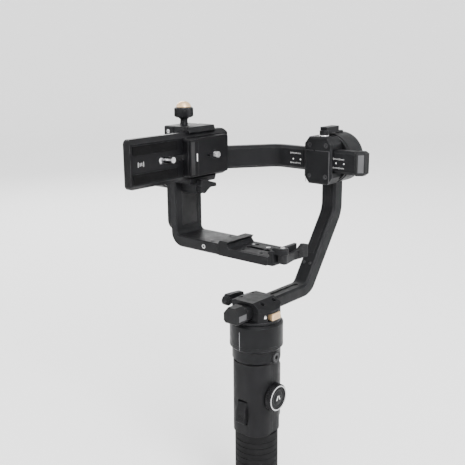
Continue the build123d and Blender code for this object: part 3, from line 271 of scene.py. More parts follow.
black_anodised = worn_finish(
    "black_anodised", (0.0080, 0.0082, 0.0090), roughness=0.5, metallic=0.15,
    worn=(0.20, 0.20, 0.21), radius=0.00045)
plain_steel = worn_finish(
    "plain_steel", (0.55, 0.55, 0.56), roughness=0.28, metallic=1.0,
    worn=(0.75, 0.75, 0.75), radius=0.0002, wear=0.2, scale=4200.0, depth=0.00001)


def dress(finish, *names):
    """Gives CAD nodes their material."""
    for name in names:
        node[name].data.materials.clear()
        node[name].data.materials.append(finish)


def set_down(work, before, centre, axis):
    """Turns the newly made vertices so that +Z becomes the axis, and moves them to the centre."""
    fresh = [vert for vert in work.verts if vert not in before]
    turn = Vector((0, 0, 1)).rotation_difference(Vector(axis)).to_matrix()
    bmesh.ops.rotate(work, cent=(0, 0, 0), matrix=turn, verts=fresh)
    bmesh.ops.translate(work, vec=centre, verts=fresh)


def lathe(work, outline, centre, axis=(0, 0, 1), steps=64):
    """Turns an outline of (radius, height) points, in millimetres, once round the axis."""
    before = set(work.verts)
    points = [work.verts.new((radius, 0, height)) for radius, height in outline]
    pairs = list(zip(points, points[1:]))
    if outline[0][0] > 0 and outline[-1][0] > 0:
        pairs.append((points[-1], points[0]))
    lines = [work.edges.new(pair) for pair in pairs]
    bmesh.ops.spin(
        work, geom=points + lines, cent=(0, 0, 0), axis=(0, 0, 1), angle=2 * pi, steps=steps,
        use_merge=True)
    set_down(work, before, centre, axis)


def make(name, work, finish, body, stands_for=()):
    """Turns finished work, drawn in millimetres, into a piece that rides on a body."""
    bmesh.ops.remove_doubles(work, verts=work.verts, dist=0.0005)
    bmesh.ops.scale(work, vec=(0.001, 0.001, 0.001), verts=work.verts)
    bmesh.ops.recalc_face_normals(work, faces=work.faces)
    shape = bpy.data.meshes.new(name)
    work.to_mesh(shape)
    work.free()
    shape.shade_smooth()
    shape.set_sharp_from_angle(angle=radians(35))
    shape.materials.append(finish)
    piece = place(name, shape)
    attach(piece, body)
    if stands_for:
        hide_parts(*stands_for)
    return piece


CAMERA_BORE_R = 2.55
CAMERA_RIDGE = 0.3
CAMERA_PITCH = 1.27


def camera_thread(work, length, centre, axis):
    """The ridges of a camera thread standing into its hole, from the mouth inwards."""
    root = CAMERA_BORE_R + 0.05
    crest = CAMERA_BORE_R - CAMERA_RIDGE
    turns = int(length / CAMERA_PITCH)
    outline = [(root, 0)]
    for turn in range(turns):
        start = -turn * CAMERA_PITCH
        outline += [
            (CAMERA_BORE_R, start - 0.1), (crest, start - CAMERA_PITCH * 0.45),
            (crest, start - CAMERA_PITCH * 0.55), (CAMERA_BORE_R, start - CAMERA_PITCH * 0.9)]
    outline.append((root, -turns * CAMERA_PITCH))
    lathe(work, outline, centre, axis, steps=40)


threads = bmesh.new()
camera_thread(threads, 9.6, (0, 0, 0.1), (0, 0, -1))
make("tripod_thread_ridges", threads, plain_steel, "handle")
dress(black_anodised, "battery_cap")
dress(plain_steel, "tripod_insert")

# ---------------------------------------------------------------- battery cells
# Three lithium cells stand side by side in the grip, each in a blue shrink sleeve.
# They are out of sight, behind the grip and its end cap.

cell_wrap = worn_finish(
    "cell_wrap", (0.04, 0.11, 0.32), roughness=0.3, metallic=0.0,
    worn=(0.2, 0.3, 0.5), wear=0.2)
dress(cell_wrap, "battery_cells")

# ---------------------------------------------------------------- handle shells and sleeve
# Two glass-filled nylon halves meet at a seam at the sides, with a fine spark-eroded skin.
# A rubber sleeve, ribbed all round, is drawn over the lower part.

moulded_black = worn_finish(
    "moulded_black", (0.0070, 0.0070, 0.0077), roughness=0.52, metallic=0.0,
    worn=(0.08, 0.08, 0.08), radius=0.0007, wear=0.35, scale=1500.0, depth=0.00007)
grip_rubber = worn_finish(
    "grip_rubber", (0.006, 0.006, 0.0064), roughness=0.74, metallic=0.0,
    worn=(0.05, 0.05, 0.05), radius=0.0004, wear=0.3, scale=900.0, depth=0.00012)
dress(moulded_black, "handle_front_shell", "handle_rear_shell")
dress(grip_rubber, "grip_sleeve")

# ---------------------------------------------------------------- control panel
# A polished black panel on the back of the handle, with a display, a joystick and three buttons.
# Four cross-slot screws hold it to the shell, over the circuit board.

gloss_black = worn_finish(
    "gloss_black", (0.010, 0.010, 0.011), roughness=0.13, metallic=0.0,
    worn=(0.05, 0.05, 0.05), wear=0.15, depth=0.000004, shine=0.5)
board_green = worn_finish(
    "board_green", (0.02, 0.12, 0.05), roughness=0.35, metallic=0.0,
    worn=(0.3, 0.3, 0.2), wear=0.2)
record_red = worn_finish(
    "record_red", (0.42, 0.02, 0.02), roughness=0.3, metallic=0.0,
    worn=(0.6, 0.2, 0.2), wear=0.2)
display_glass = worn_finish(
    "display_glass", (0.006, 0.010, 0.013), roughness=0.06, metallic=0.0,
    worn=(0.03, 0.03, 0.03), wear=0.1, depth=0.000002, shine=0.5)
white_ink = worn_finish(
    "white_ink", (0.72, 0.72, 0.72), roughness=0.45, metallic=0.0,
    worn=(0.5, 0.5, 0.5), radius=0.0001, wear=0.6, scale=3200.0)
dress(gloss_black, "control_fascia")
dress(display_glass, "display_window")
dress(board_green, "control_board")
dress(record_red, "record_button")
dress(moulded_black, "mode_button", "menu_button", "joystick")
dress(plain_steel, "handle_screws", "joystick_ring")

lit_pixels, lit_nodes, lit_links, lit = new_material("lit_pixels", (0.55, 0.85, 0.95), 0.4)
pixel_place = lit_nodes.new("ShaderNodeTexCoord")
lit_tree = lit_pixels.node_tree
pixel_noise = noise(lit_tree, pixel_place.outputs["Object"], scale=5200.0)
pixel_grain = stretch(lit_tree, pixel_noise, low=0.35, high=0.65, to_low=0.25, to_high=1.0)
pixel_tone = lit_nodes.new("ShaderNodeMix")
pixel_tone.data_type = "RGBA"
pixel_tone.inputs["A"].default_value = (0.02, 0.06, 0.08, 1)
pixel_tone.inputs["B"].default_value = (0.45, 0.85, 1.0, 1)
lit_links.new(pixel_grain, pixel_tone.inputs["Factor"])
lit_links.new(pixel_tone.outputs["Result"], lit.inputs["Base Color"])
lit_links.new(pixel_tone.outputs["Result"], lit.inputs["Emission Color"])
lit.inputs["Emission Strength"].default_value = 0.5


def corners(name):
    """A node's lowest and highest corners, in millimetres."""
    low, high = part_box(name)
    return low * 1000, high * 1000


def bar(work, size, centre, rounding=0.0, turn=None):
    """A straight-sided piece of stock, its edges rounded over."""
    made = bmesh.ops.create_cube(work, size=1)["verts"]
    bmesh.ops.scale(work, vec=size, verts=made)
    if turn is not None:
        bmesh.ops.rotate(work, cent=(0, 0, 0), matrix=turn, verts=made)
    bmesh.ops.translate(work, vec=centre, verts=made)
    if rounding:
        rims = list({edge for vert in made for edge in vert.link_edges})
        bmesh.ops.bevel(
            work, geom=rims, offset=rounding, offset_type="OFFSET", segments=3, profile=0.5,
            affect="EDGES", material=-1, clamp_overlap=True)


window_low, window_high = corners("display_window")
window_mid = (window_low + window_high) / 2
GLASS_Y = window_high.y
SIGN_DEPTH = 0.1
TOP_ROW = window_high.z - 2.4
BATTERY_X = window_mid.x - 6
CHARGE_BARS = 4
signs = bmesh.new()
for step in range(CHARGE_BARS):
    bar(signs, (1.1, SIGN_DEPTH, 1.6), (BATTERY_X - 2.2 + 1.5 * step, GLASS_Y, TOP_ROW))
for side in (-1.25, 1.25):
    bar(signs, (7, SIGN_DEPTH, 0.2), (BATTERY_X, GLASS_Y, TOP_ROW + side))
for side in (-3.5, 3.5):
    bar(signs, (0.2, SIGN_DEPTH, 2.5), (BATTERY_X + side, GLASS_Y, TOP_ROW))
for row, length in enumerate((6, 10, 6)):
    bar(signs, (length, SIGN_DEPTH, 0.45), (window_mid.x, GLASS_Y, window_mid.z - 2.2 * row + 0.6))
lathe(signs, [(1.5, -0.05), (1.5, 0.05), (1.25, 0.05), (1.25, -0.05)],
      (window_mid.x + 7.4, GLASS_Y, TOP_ROW), (0, 1, 0), steps=28)
make("display_signs", signs, lit_pixels, "handle")


def outer_face(name):
    """The middle of a button's outer face."""
    low, high = corners(name)
    return (low.x + high.x) / 2, high.y, (low.z + high.z) / 2


MARK_DEPTH = 0.08
frame_mark = bmesh.new()
x, y, z = outer_face("mode_button")
for side in (-0.9, 0.9):
    bar(frame_mark, (2.1, MARK_DEPTH, 0.25), (x, y, z + side))
    bar(frame_mark, (0.25, MARK_DEPTH, 2.05), (x + side, y, z))
make("mode_button_mark", frame_mark, white_ink, "mode_button")
bars_mark = bmesh.new()
x, y, z = outer_face("menu_button")
for level in (-0.8, 0, 0.8):
    bar(bars_mark, (2.2, MARK_DEPTH, 0.3), (x, y, z + level))
make("menu_button_mark", bars_mark, white_ink, "menu_button")
DOT_R = 0.8
HALF_DEPTH = MARK_DEPTH / 2
dot_mark = bmesh.new()
lathe(dot_mark, [(0, -HALF_DEPTH), (DOT_R, -HALF_DEPTH), (DOT_R, HALF_DEPTH), (0, HALF_DEPTH)],
      outer_face("record_button"), (0, 1, 0), steps=28)
make("record_button_mark", dot_mark, white_ink, "record_button")

# ---------------------------------------------------------------- trigger
# A moulded trigger on the front of the handle, turning on a cross pin behind its upper end.
# Ribs across its face stop the finger slipping.

dress(moulded_black, "trigger")
trigger_low, _ = corners("trigger")
RIB_SIZE = (8.4, 0.8, 0.5)
FIRST_RIB = 4.4
RIB_STEP = 1.7
ribs = bmesh.new()
for step in range(4):
    inset = 0.25 + 0.12 * step
    height = trigger_low.z + FIRST_RIB + RIB_STEP * step
    bar(ribs, RIB_SIZE, (0, trigger_low.y + inset, height), rounding=0.18)
make("trigger_ribs", ribs, moulded_black, "trigger")

# ---------------------------------------------------------------- focus wheel
# A milled aluminium wheel on the handle's side, knurled on its rim, with a bright turned ring.
# Its axle runs in the shell, and a plain pointer is printed in the dish of its face.

fluted_black = worn_finish(
    "fluted_black", (0.0075, 0.0075, 0.0082), roughness=0.4, metallic=0.2,
    worn=(0.25, 0.25, 0.26), radius=0.0003, wear=0.6)
dress(fluted_black, "focus_wheel")
wheel_low, wheel_high = corners("focus_wheel")
wheel_face = Vector((wheel_high.x, 0, (wheel_low.z + wheel_high.z) / 2))
wheel_ring = bmesh.new()
lathe(wheel_ring,
      [(12.4, -0.4), (12.4, 0.05), (12.65, 0.18), (13.35, 0.18), (13.6, 0.05), (13.6, -0.4)],
      wheel_face, (1, 0, 0), steps=96)
make("focus_wheel_ring", wheel_ring, plain_steel, "focus_wheel")
wheel_dish = bmesh.new()
lathe(wheel_dish, [(0, -1.2), (10.9, -1.2), (10.9, -0.55), (10.5, -0.3), (8.2, -0.3), (7.9, -0.5),
                   (7.6, -0.3), (0, -0.15)], wheel_face, (1, 0, 0), steps=72)
make("focus_wheel_dish", wheel_dish, black_anodised, "focus_wheel")
POINTER_STROKE = (0.14, 1.1, 5.2)
POINTER_SLANT = radians(24)
pointer = bmesh.new()
for side in (1, -1):
    bar(pointer, POINTER_STROKE, wheel_face + Vector((-0.2, 1.7 * side, 0)),
        turn=Matrix.Rotation(POINTER_SLANT * side, 3, "X"))
make("focus_wheel_mark", pointer, white_ink, "focus_wheel")

# ---------------------------------------------------------------- pan motor
# An aluminium cup turned in one piece with its neck, over a wound stator on two bearings.
# It has a status strip in a slit at the front and a steel thread in the port on its side.


def lathe_lines_group():
    """The fine lines that a lathe tool leaves at even steps along a turned piece."""
    group, given, out = new_group(
        "lathe_lines", (("Along", 0.0), ("Pitch", 0.0005)), (("Height", "NodeSocketFloat"),))
    turns = maths(group, "DIVIDE", given.outputs["Along"], given.outputs["Pitch"])
    wave = maths(group, "SINE", maths(group, "MULTIPLY", turns, 2 * pi), 0.0)
    spot = group.nodes.new("ShaderNodeTexCoord")
    patches = noise(group, spot.outputs["Object"], scale=60.0, detail=3.0)
    fade = stretch(group, patches, low=0.35, high=0.65, to_low=0.35, to_high=1.0)
    group.links.new(maths(group, "MULTIPLY", wave, fade), out.inputs["Height"])
    return group


lathe_lines = lathe_lines_group()


def turned_finish(name, along):
    """The anodised finish with lathe lines that step along one axis of the object."""
    made = worn_finish(
        name, (0.0085, 0.0087, 0.0094), roughness=0.42, metallic=0.2, worn=(0.20, 0.20, 0.21),
        radius=0.0005)
    tree = made.node_tree
    spot = tree.nodes.new("ShaderNodeTexCoord")
    split = tree.nodes.new("ShaderNodeSeparateXYZ")
    tree.links.new(spot.outputs["Object"], split.inputs[0])
    lines = tree.nodes.new("ShaderNodeGroup")
    lines.node_tree = lathe_lines
    lines.inputs["Pitch"].default_value = 0.0006
    tree.links.new(split.outputs[along], lines.inputs["Along"])
    shader = tree.nodes["Principled BSDF"]
    pitted = shader.inputs["Normal"].links[0].from_socket
    bump = tree.nodes.new("ShaderNodeBump")
    bump.inputs["Distance"].default_value = 0.00002
    bump.inputs["Strength"].default_value = 0.35
    tree.links.new(lines.outputs["Height"], bump.inputs["Height"])
    tree.links.new(pitted, bump.inputs["Normal"])
    tree.links.new(bump.outputs["Normal"], shader.inputs["Normal"])
    return made


black_oxide = worn_finish(
    "black_oxide", (0.05, 0.05, 0.052), roughness=0.32, metallic=0.8,
    worn=(0.35, 0.35, 0.36), radius=0.0002, wear=0.5)
turned_about_z = turned_finish("turned_about_z", "Z")
turned_about_y = turned_finish("turned_about_y", "Y")
turned_about_x = turned_finish("turned_about_x", "X")
winding = worn_finish(
    "winding", (0.35, 0.13, 0.05), roughness=0.4, metallic=0.6,
    worn=(0.5, 0.3, 0.1), scale=700.0, depth=0.0002)
bearing_steel = worn_finish(
    "bearing_steel", (0.45, 0.45, 0.46), roughness=0.25, metallic=1.0,
    worn=(0.6, 0.6, 0.6), wear=0.2)
magnet_nickel = worn_finish(
    "magnet_nickel", (0.5, 0.49, 0.46), roughness=0.22, metallic=1.0,
    worn=(0.6, 0.6, 0.6), wear=0.2)
strip_grey = worn_finish(
    "strip_grey", (0.34, 0.35, 0.36), roughness=0.35, metallic=0.0,
    worn=(0.5, 0.5, 0.5), radius=0.0002)
dress(turned_about_z, "pan_motor_cup", "pan_rotor")
dress(winding, "pan_stator", "roll_stator", "tilt_stator")
dress(bearing_steel, "pan_bearings", "roll_bearings", "tilt_bearings")
dress(magnet_nickel, "pan_magnets", "roll_magnets", "tilt_magnets")
dress(black_oxide, "side_port_insert")

cup_low, cup_high = corners("pan_motor_cup")
CUP_R = cup_high.x
rings = bmesh.new()
for level in (16.8, 18.6, 20.4):
    lathe(rings, [(CUP_R - 0.3, -0.3), (CUP_R + 0.05, -0.25), (CUP_R + 0.12, 0),
                  (CUP_R + 0.05, 0.25), (CUP_R - 0.3, 0.3)], (0, 0, cup_low.z + level), steps=96)
make("pan_motor_rings", rings, turned_about_z, "handle")
STRIP_SIZE = (0.8, 1.0, 20.6)
strip = bmesh.new()
bar(strip, STRIP_SIZE, (0, cup_low.y + 0.65, cup_low.z + 26), rounding=0.3)
make("status_strip", strip, strip_grey, "handle")
port_low, port_high = corners("side_port_insert")
PORT_Z = (port_low.z + port_high.z) / 2
port_thread = bmesh.new()
camera_thread(port_thread, 8.8, (port_high.x - 0.1, 0, PORT_Z), (1, 0, 0))
lathe(port_thread, [(4.1, -0.4), (4.1, 0.1), (4.3, 0.25), (5.0, 0.25), (5.2, 0.1), (5.2, -0.4)],
      (port_high.x, 0, PORT_Z), (1, 0, 0), steps=48)
make("side_port_thread_ridges", port_thread, black_oxide, "handle")

# ---------------------------------------------------------------- pan stage
# The rotor carries a two-part clamp, milled from aluminium and black anodised, for the yaw arm.
# A gold slider locks the pan axis, and a cam lever on the far side closes the clamp.

gold_anodised = worn_finish(
    "gold_anodised", (0.62, 0.43, 0.25), roughness=0.36, metallic=0.7,
    worn=(0.9, 0.75, 0.55), radius=0.0004, scale=3000.0)
dress(black_anodised, "yaw_clamp_base", "yaw_clamp_cap", "yaw_lever")
dress(black_oxide, "yaw_clamp_screws")
dress(gold_anodised, "pan_latch")
BOW_R = 0.85
BOW_THICK = 0.42
lock_sign = bmesh.new()
bar(lock_sign, (2.6, 1.9, MARK_DEPTH), (0, -0.9, 0))
for turn in range(0, 181, 20):
    angle = radians(turn)
    bar(lock_sign, (BOW_THICK, BOW_THICK, MARK_DEPTH),
        (BOW_R * cos(angle), 0.45 + BOW_R * sin(angle), 0))
for side in (-BOW_R, BOW_R):
    bar(lock_sign, (BOW_THICK, 0.7, MARK_DEPTH), (side, 0.2, 0))
drum_low, drum_high = corners("yaw_clamp_base")
SIGN_WAY = radians(-30)
SIGN_R = drum_high.x - 0.02
facing = Matrix((
    (-sin(SIGN_WAY), 0, cos(SIGN_WAY)), (cos(SIGN_WAY), 0, sin(SIGN_WAY)), (0, 1, 0)))
bmesh.ops.rotate(lock_sign, cent=(0, 0, 0), matrix=facing, verts=lock_sign.verts)
sign_spot = (SIGN_R * cos(SIGN_WAY), SIGN_R * sin(SIGN_WAY), drum_low.z + 6.6)
bmesh.ops.translate(lock_sign, vec=sign_spot, verts=lock_sign.verts)
make("pan_lock_sign", lock_sign, white_ink, "pan_stage")


def grow(work, loop, move, scale=1.0):
    """Draws a loop of edges on by a move, and returns the new loop."""
    grown = bmesh.ops.extrude_edge_only(work, edges=loop)["geom"]
    tips = {part for part in grown if isinstance(part, bmesh.types.BMVert)}
    bmesh.ops.translate(work, vec=move, verts=list(tips))
    if scale != 1.0:
        bmesh.ops.scale(work, vec=(scale, scale, 1), verts=list(tips))
    return [part for part in grown if isinstance(part, bmesh.types.BMEdge)
            and all(vert in tips for vert in part.verts)]


def hex_screw(work, centre, axis, head_r, head_h, key_r):
    """A socket screw: a chamfered round head with a six-sided socket."""
    before = set(work.verts)

    def rim(segments, radius, height):
        ring = bmesh.ops.create_circle(
            work, cap_ends=False, segments=segments, radius=radius)["verts"]
        bmesh.ops.translate(work, vec=(0, 0, height), verts=ring)
        return list({edge for vert in ring for edge in vert.link_edges})

    foot = rim(24, head_r, 0)
    shoulder = grow(work, foot, (0, 0, head_h * 0.7))
    top = grow(work, shoulder, (0, 0, head_h * 0.3), 0.86)
    key = rim(6, key_r, head_h)
    bmesh.ops.bridge_loops(work, edges=top + key)
    floor = grow(work, key, (0, 0, -head_h * 0.65))
    bmesh.ops.contextual_create(work, geom=floor)
    bmesh.ops.contextual_create(work, geom=foot)
    set_down(work, before, centre, axis)


yaw_lever_low, _ = corners("yaw_lever")
YAW_LEVER_Z = 241.4
lever_bolt = bmesh.new()
lever_bolt_spot = (yaw_lever_low.x - 0.1, yaw_lever_low.y + 5.2, YAW_LEVER_Z)
hex_screw(lever_bolt, lever_bolt_spot, (-1, 0, 0), head_r=2.4, head_h=1.0, key_r=1.2)
make("yaw_lever_bolt", lever_bolt, black_oxide, "yaw_lever")

# ---------------------------------------------------------------- yaw arm and roll motor
# The bent arm is a forged and milled bar with the roll motor's cup bored in its upper end.
# A moulded plug closes its front end, and a cover strip over the leads runs up its front face.

dress(black_anodised, "yaw_arm", "roll_latch")
plug_grey = worn_finish(
    "plug_grey", (0.0095, 0.0097, 0.0103), roughness=0.5, metallic=0.0,
    worn=(0.15, 0.15, 0.15), radius=0.0006, scale=1500.0)
dress(plug_grey, "yaw_arm_end_cap")
dress(turned_about_y, "roll_motor_cover", "roll_rotor")

ARM_LEAN = radians(35.1)
SLANT = Vector((0, 0.575, 0.818))
SLANT_OUT = Vector((0, -0.818, 0.575))
COVER_FOOT = Vector((0, 99.5, 274.57))
COVER_SECTION = (7.6, 0.6, 1)
COVER_SLANT_RUN = 48.29
COVER_UPRIGHT_RUN = 20
BEND_CENTRE = (0, 106, 329.02)
lead_cover = bmesh.new()
start = bmesh.ops.create_grid(lead_cover, x_segments=1, y_segments=1, size=0.5)["verts"]
bmesh.ops.scale(lead_cover, vec=COVER_SECTION, verts=start)
bmesh.ops.rotate(
    lead_cover, cent=(0, 0, 0), matrix=Matrix.Rotation(-ARM_LEAN, 3, "X"), verts=start)
bmesh.ops.translate(lead_cover, vec=COVER_FOOT + SLANT_OUT * 0.12, verts=start)
loop = grow(lead_cover, list(lead_cover.edges), SLANT * COVER_SLANT_RUN)
bent = bmesh.ops.spin(
    lead_cover, geom=loop + list({vert for edge in loop for vert in edge.verts}), cent=BEND_CENTRE,
    axis=(1, 0, 0), angle=ARM_LEAN, steps=10)["geom_last"]
loop = [part for part in bent if isinstance(part, bmesh.types.BMEdge)]
loop = grow(lead_cover, loop, (0, 0, COVER_UPRIGHT_RUN))
bmesh.ops.contextual_create(lead_cover, geom=loop)
make("yaw_arm_lead_cover", lead_cover, moulded_black, "yaw_arm")

ARM_SCREW_SPOT = Vector((0, 92.4, 264.47))
arm_screws = bmesh.new()
for side in (-4, 4):
    screw_spot = ARM_SCREW_SPOT + Vector((side, 0, 0)) - SLANT_OUT * 0.1
    hex_screw(arm_screws, screw_spot, SLANT_OUT, head_r=1.7, head_h=0.8, key_r=0.8)
make("yaw_arm_screws", arm_screws, black_oxide, "yaw_arm")

plug_low, plug_high = corners("yaw_arm_end_cap")
# Painted highlight colour: a lighter grey laid on faces that catch the key light, standing in for
# light on the black parts.
painted_highlight_grey = worn_finish(
    "painted_highlight_grey", (0.072, 0.072, 0.075), roughness=0.5, metallic=0.0,
    worn=(0.3, 0.3, 0.3), radius=0.0003, scale=1800.0)
# Painted highlight: light grey strips on the end plug's sides, where the lit side face shows
# lighter.
plug_highlights = bmesh.new()
for side in (plug_low.x, plug_high.x):
    bar(plug_highlights, (0.3, 11.6, 6.2), (side, plug_low.y + 7.2, plug_low.z + 7), rounding=0.12)
make("yaw_arm_plug_highlights", plug_highlights, painted_highlight_grey, "yaw_arm")

GROOVE_R = 17.75
GROOVE_RING = [(16.75, -0.75), (16.75, -0.45), (16.95, -0.35), (18.55, -0.35), (18.75, -0.45),
               (18.75, -0.75)]
SCREW_SEAT = 0.42


def dress_groove(motor, body, face, across, axis):
    """A polished ring with four socket screws in it, down in the groove of a motor's cover."""
    screws = bmesh.new()
    for step in range(4):
        turn = radians(45 + 90 * step)
        spoke = Vector(across) * cos(turn) + Vector((0, 0, 1)) * sin(turn)
        screw_spot = face + spoke * GROOVE_R - Vector(axis) * SCREW_SEAT
        hex_screw(screws, screw_spot, axis, head_r=0.95, head_h=0.38, key_r=0.5)
    make(f"{motor}_motor_bolts", screws, black_oxide, body)
    ring = bmesh.new()
    lathe(ring, GROOVE_RING, face, axis, steps=72)
    make(f"{motor}_motor_ring", ring, gloss_black, body)


roll_low, roll_high = corners("roll_motor_cover")
ROLL_Z = (roll_low.z + roll_high.z) / 2
dress_groove("roll", "yaw_arm", Vector((0, roll_high.y, ROLL_Z)), (1, 0, 0), (0, 1, 0))

# ---------------------------------------------------------------- roll clamp
# Two milled halves are screwed together round the roll arm, on the roll motor's rotor.
# A cam lever on top closes them, over a bright steel washer.

dress(black_anodised, "roll_clamp_base", "roll_clamp_cover", "roll_lever")
dress(black_oxide, "roll_clamp_screws")
clamp_low, clamp_high = corners("roll_clamp_cover")
BEAD_X = 15.4
BEAD_Z = ROLL_Z - 7
BEAD_RUN = 36
beads = bmesh.new()
bar(beads, (31.4, 0.36, 0.7), (0, clamp_low.y, ROLL_Z + 11.4), rounding=0.15)
bar(beads, (0.6, 0.36, BEAD_RUN), (-BEAD_X, clamp_low.y, BEAD_Z), rounding=0.15)
make("roll_clamp_beads", beads, black_oxide, "roll_stage")
# Painted highlight: a light grey line down the clamp's right-hand edge, where the edge catches the
# light; the left bead stays dark.
edge_highlight = bmesh.new()
bar(edge_highlight, (0.8, 0.36, BEAD_RUN), (BEAD_X, clamp_low.y, BEAD_Z), rounding=0.15)
make("roll_clamp_edge_highlight", edge_highlight, painted_highlight_grey, "roll_stage")

_, lever_high = corners("roll_lever")
LEVER_X = 3
washer = bmesh.new()
lathe(washer, [(4.9, 0), (5.5, 0.05), (5.6, 0.3), (5.6, 1.3), (5.4, 1.6), (4.9, 1.65)],
      (LEVER_X, 117, clamp_high.z + 0.35), steps=48)
make("roll_lever_washer", washer, plain_steel, "roll_lever")
roll_lever_bolt = bmesh.new()
roll_bolt_spot = (LEVER_X, 120.5, lever_high.z - 0.25)
hex_screw(roll_lever_bolt, roll_bolt_spot, (0, 0, 1), head_r=2.1, head_h=0.5, key_r=1.0)
make("roll_lever_bolt", roll_lever_bolt, black_oxide, "roll_lever")

# ---------------------------------------------------------------- roll arm and tilt motor
# A second bent bar slides through the roll clamp and carries the tilt motor on its far end.
# Plain white scale ticks are printed on its front face, either side of the clamp.

dress(black_anodised, "roll_arm")
dress(plug_grey, "roll_arm_end_cap")
dress(turned_about_x, "tilt_motor_cover", "tilt_rotor")
ARM_FACE_Y = 113.3
TICKS = 10
TICK_STEP = 1.5
DOT_OUTLINE = [(0, -0.05), (0.85, -0.05), (0.85, 0.06), (0, 0.06)]
scale_marks = bmesh.new()
for start, level in ((-39.6, 5.6), (-39.6, -5.6), (18.4, 3.4), (18.4, -6.4)):
    for step in range(TICKS):
        tall = 2.2 if step % 5 == 0 else 1.3
        bar(scale_marks, (0.35, 0.1, tall), (start + TICK_STEP * step, ARM_FACE_Y, ROLL_Z + level))
for start in (-36, -26, 22, 32):
    lathe(scale_marks, DOT_OUTLINE, (start, ARM_FACE_Y, ROLL_Z - 1.2), (0, -1, 0), steps=24)
make("roll_arm_scale", scale_marks, white_ink, "roll_arm")

tilt_low, _ = corners("tilt_motor_cover")
dress_groove("tilt", "roll_arm", Vector((tilt_low.x, 0, ROLL_Z)), (0, 1, 0), (-1, 0, 0))

end_low, end_high = corners("roll_arm_end_cap")
# Painted highlight: a light grey strip on the end cap's corner facet that faces the lamps.
end_highlight = bmesh.new()
bar(end_highlight, (6.6, 0.3, 19.4), (end_high.x - 3.2, end_low.y + 3.2, ROLL_Z), rounding=0.12,
    turn=Matrix.Rotation(radians(45), 3, "Z"))
make("roll_arm_end_highlight", end_highlight, painted_highlight_grey, "roll_arm")

# ---------------------------------------------------------------- tilt rail
# A dovetail rail screwed to the tilt rotor, on which the camera bracket slides up and down.
# Scale ticks are printed down its rear edge.

dress(black_anodised, "tilt_rail")
rail_low, rail_high = corners("tilt_rail")
FIRST_TICK = 18
RAIL_TICK_STEP = 4
rail_ticks = bmesh.new()
for step in range(14):
    wide = 4.4 if step % 5 == 0 else 2.6
    height = rail_low.z + FIRST_TICK + RAIL_TICK_STEP * step
    bar(rail_ticks, (wide, 0.1, 0.35), (rail_low.x + 4, rail_high.y, height))
make("tilt_rail_scale", rail_ticks, white_ink, "tilt_stage")

# ---------------------------------------------------------------- camera bracket
# An L of milled aluminium with the yoke and the receivers bolted on, and a knob that locks it.
# Its upright part has a shallow panel let into it, and a steel bush shows in its front edge.

bracket_grey = worn_finish(
    "bracket_grey", (0.0100, 0.0102, 0.0110), roughness=0.46, metallic=0.2,
    worn=(0.24, 0.24, 0.25), radius=0.0005)
dress(bracket_grey, "l_bracket")
dress(
    black_anodised, "tray_receiver", "clamp_yoke", "upright_receiver", "upright_lever", "tray_jaw")
UPRIGHT_FACE_X = -95.0
# Grey for the bracket's inset panel, also used as a painted highlight on the riser's lip.
panel_and_highlight_grey = worn_finish(
    "panel_and_highlight_grey", (0.018, 0.018, 0.0186), roughness=0.52, metallic=0.0,
    worn=(0.15, 0.15, 0.15), radius=0.0003, cloud=0.4)
inlay = bmesh.new()
bar(inlay, (0.9, 23.2, 47.2), (UPRIGHT_FACE_X - 0.7, 1, 337), rounding=0.3)
make("bracket_panel", inlay, panel_and_highlight_grey, "bracket")

bracket_low, _ = corners("l_bracket")
bush = bmesh.new()
lathe(bush, [(1.3, -2.4), (1.3, 0), (1.5, 0.15), (2.2, 0.15), (2.38, -0.05), (2.38, -2.4)],
      (-55, bracket_low.y, 298), (0, -1, 0), steps=36)
make("bracket_bush", bush, plain_steel, "bracket")

yoke_low, yoke_high = corners("clamp_yoke")
YOKE_SCREW_X = -104
yoke_screws = bmesh.new()
for side, way in ((yoke_low.y, -1), (yoke_high.y, 1)):
    screw_spot = (YOKE_SCREW_X, side - way * 0.1, yoke_low.z + 5.6)
    hex_screw(yoke_screws, screw_spot, (0, way, 0), head_r=2.1, head_h=0.7, key_r=1.0)
screw_spot = (yoke_high.x - 0.1, 9, yoke_low.z + 6)
hex_screw(yoke_screws, screw_spot, (1, 0, 0), head_r=1.7, head_h=0.7, key_r=0.8)
make("yoke_screws", yoke_screws, plain_steel, "bracket")

# ---------------------------------------------------------------- height knob
# A fluted aluminium knob on a steel neck locks the bracket's height.
# A domed cap, anodised gold, is pressed into its top.

knob_low, knob_high = corners("height_knob")
KNOB_X = (knob_low.x + knob_high.x) / 2
KNOB_R = knob_high.y
GRIP_LOW = 430.5
GRIP_HIGH = 441.5
FLUTES = 44
FLUTE_DEPTH = 0.945
RIM_R = KNOB_R * 0.95
knob = bmesh.new()
lathe(knob, [(4.4, knob_low.z), (4.4, 424.4), (4.1, 424.9), (4.1, 428.4), (5.6, 429.6),
             (5.6, 430.8), (0, 430.8), (0, knob_low.z)], (KNOB_X, 0, 0), steps=48)
before = set(knob.verts)
bmesh.ops.create_cone(
    knob, cap_ends=True, cap_tris=False, segments=2 * FLUTES, radius1=KNOB_R, radius2=KNOB_R,
    depth=8.4)
fluted = [vert for vert in knob.verts if vert not in before]
for vert in fluted:
    angle = vert.co.to_2d().angle_signed(Vector((1, 0)))
    if round(angle / pi * FLUTES) % 2:
        vert.co.xy *= FLUTE_DEPTH
bmesh.ops.translate(knob, vec=(KNOB_X, 0, (GRIP_LOW + GRIP_HIGH) / 2), verts=fluted)
lathe(knob, [(0, GRIP_LOW), (RIM_R - 1.2, GRIP_LOW), (RIM_R, GRIP_LOW + 0.9),
             (RIM_R, GRIP_LOW + 1.3), (0, GRIP_LOW + 1.3)], (KNOB_X, 0, 0), steps=72)
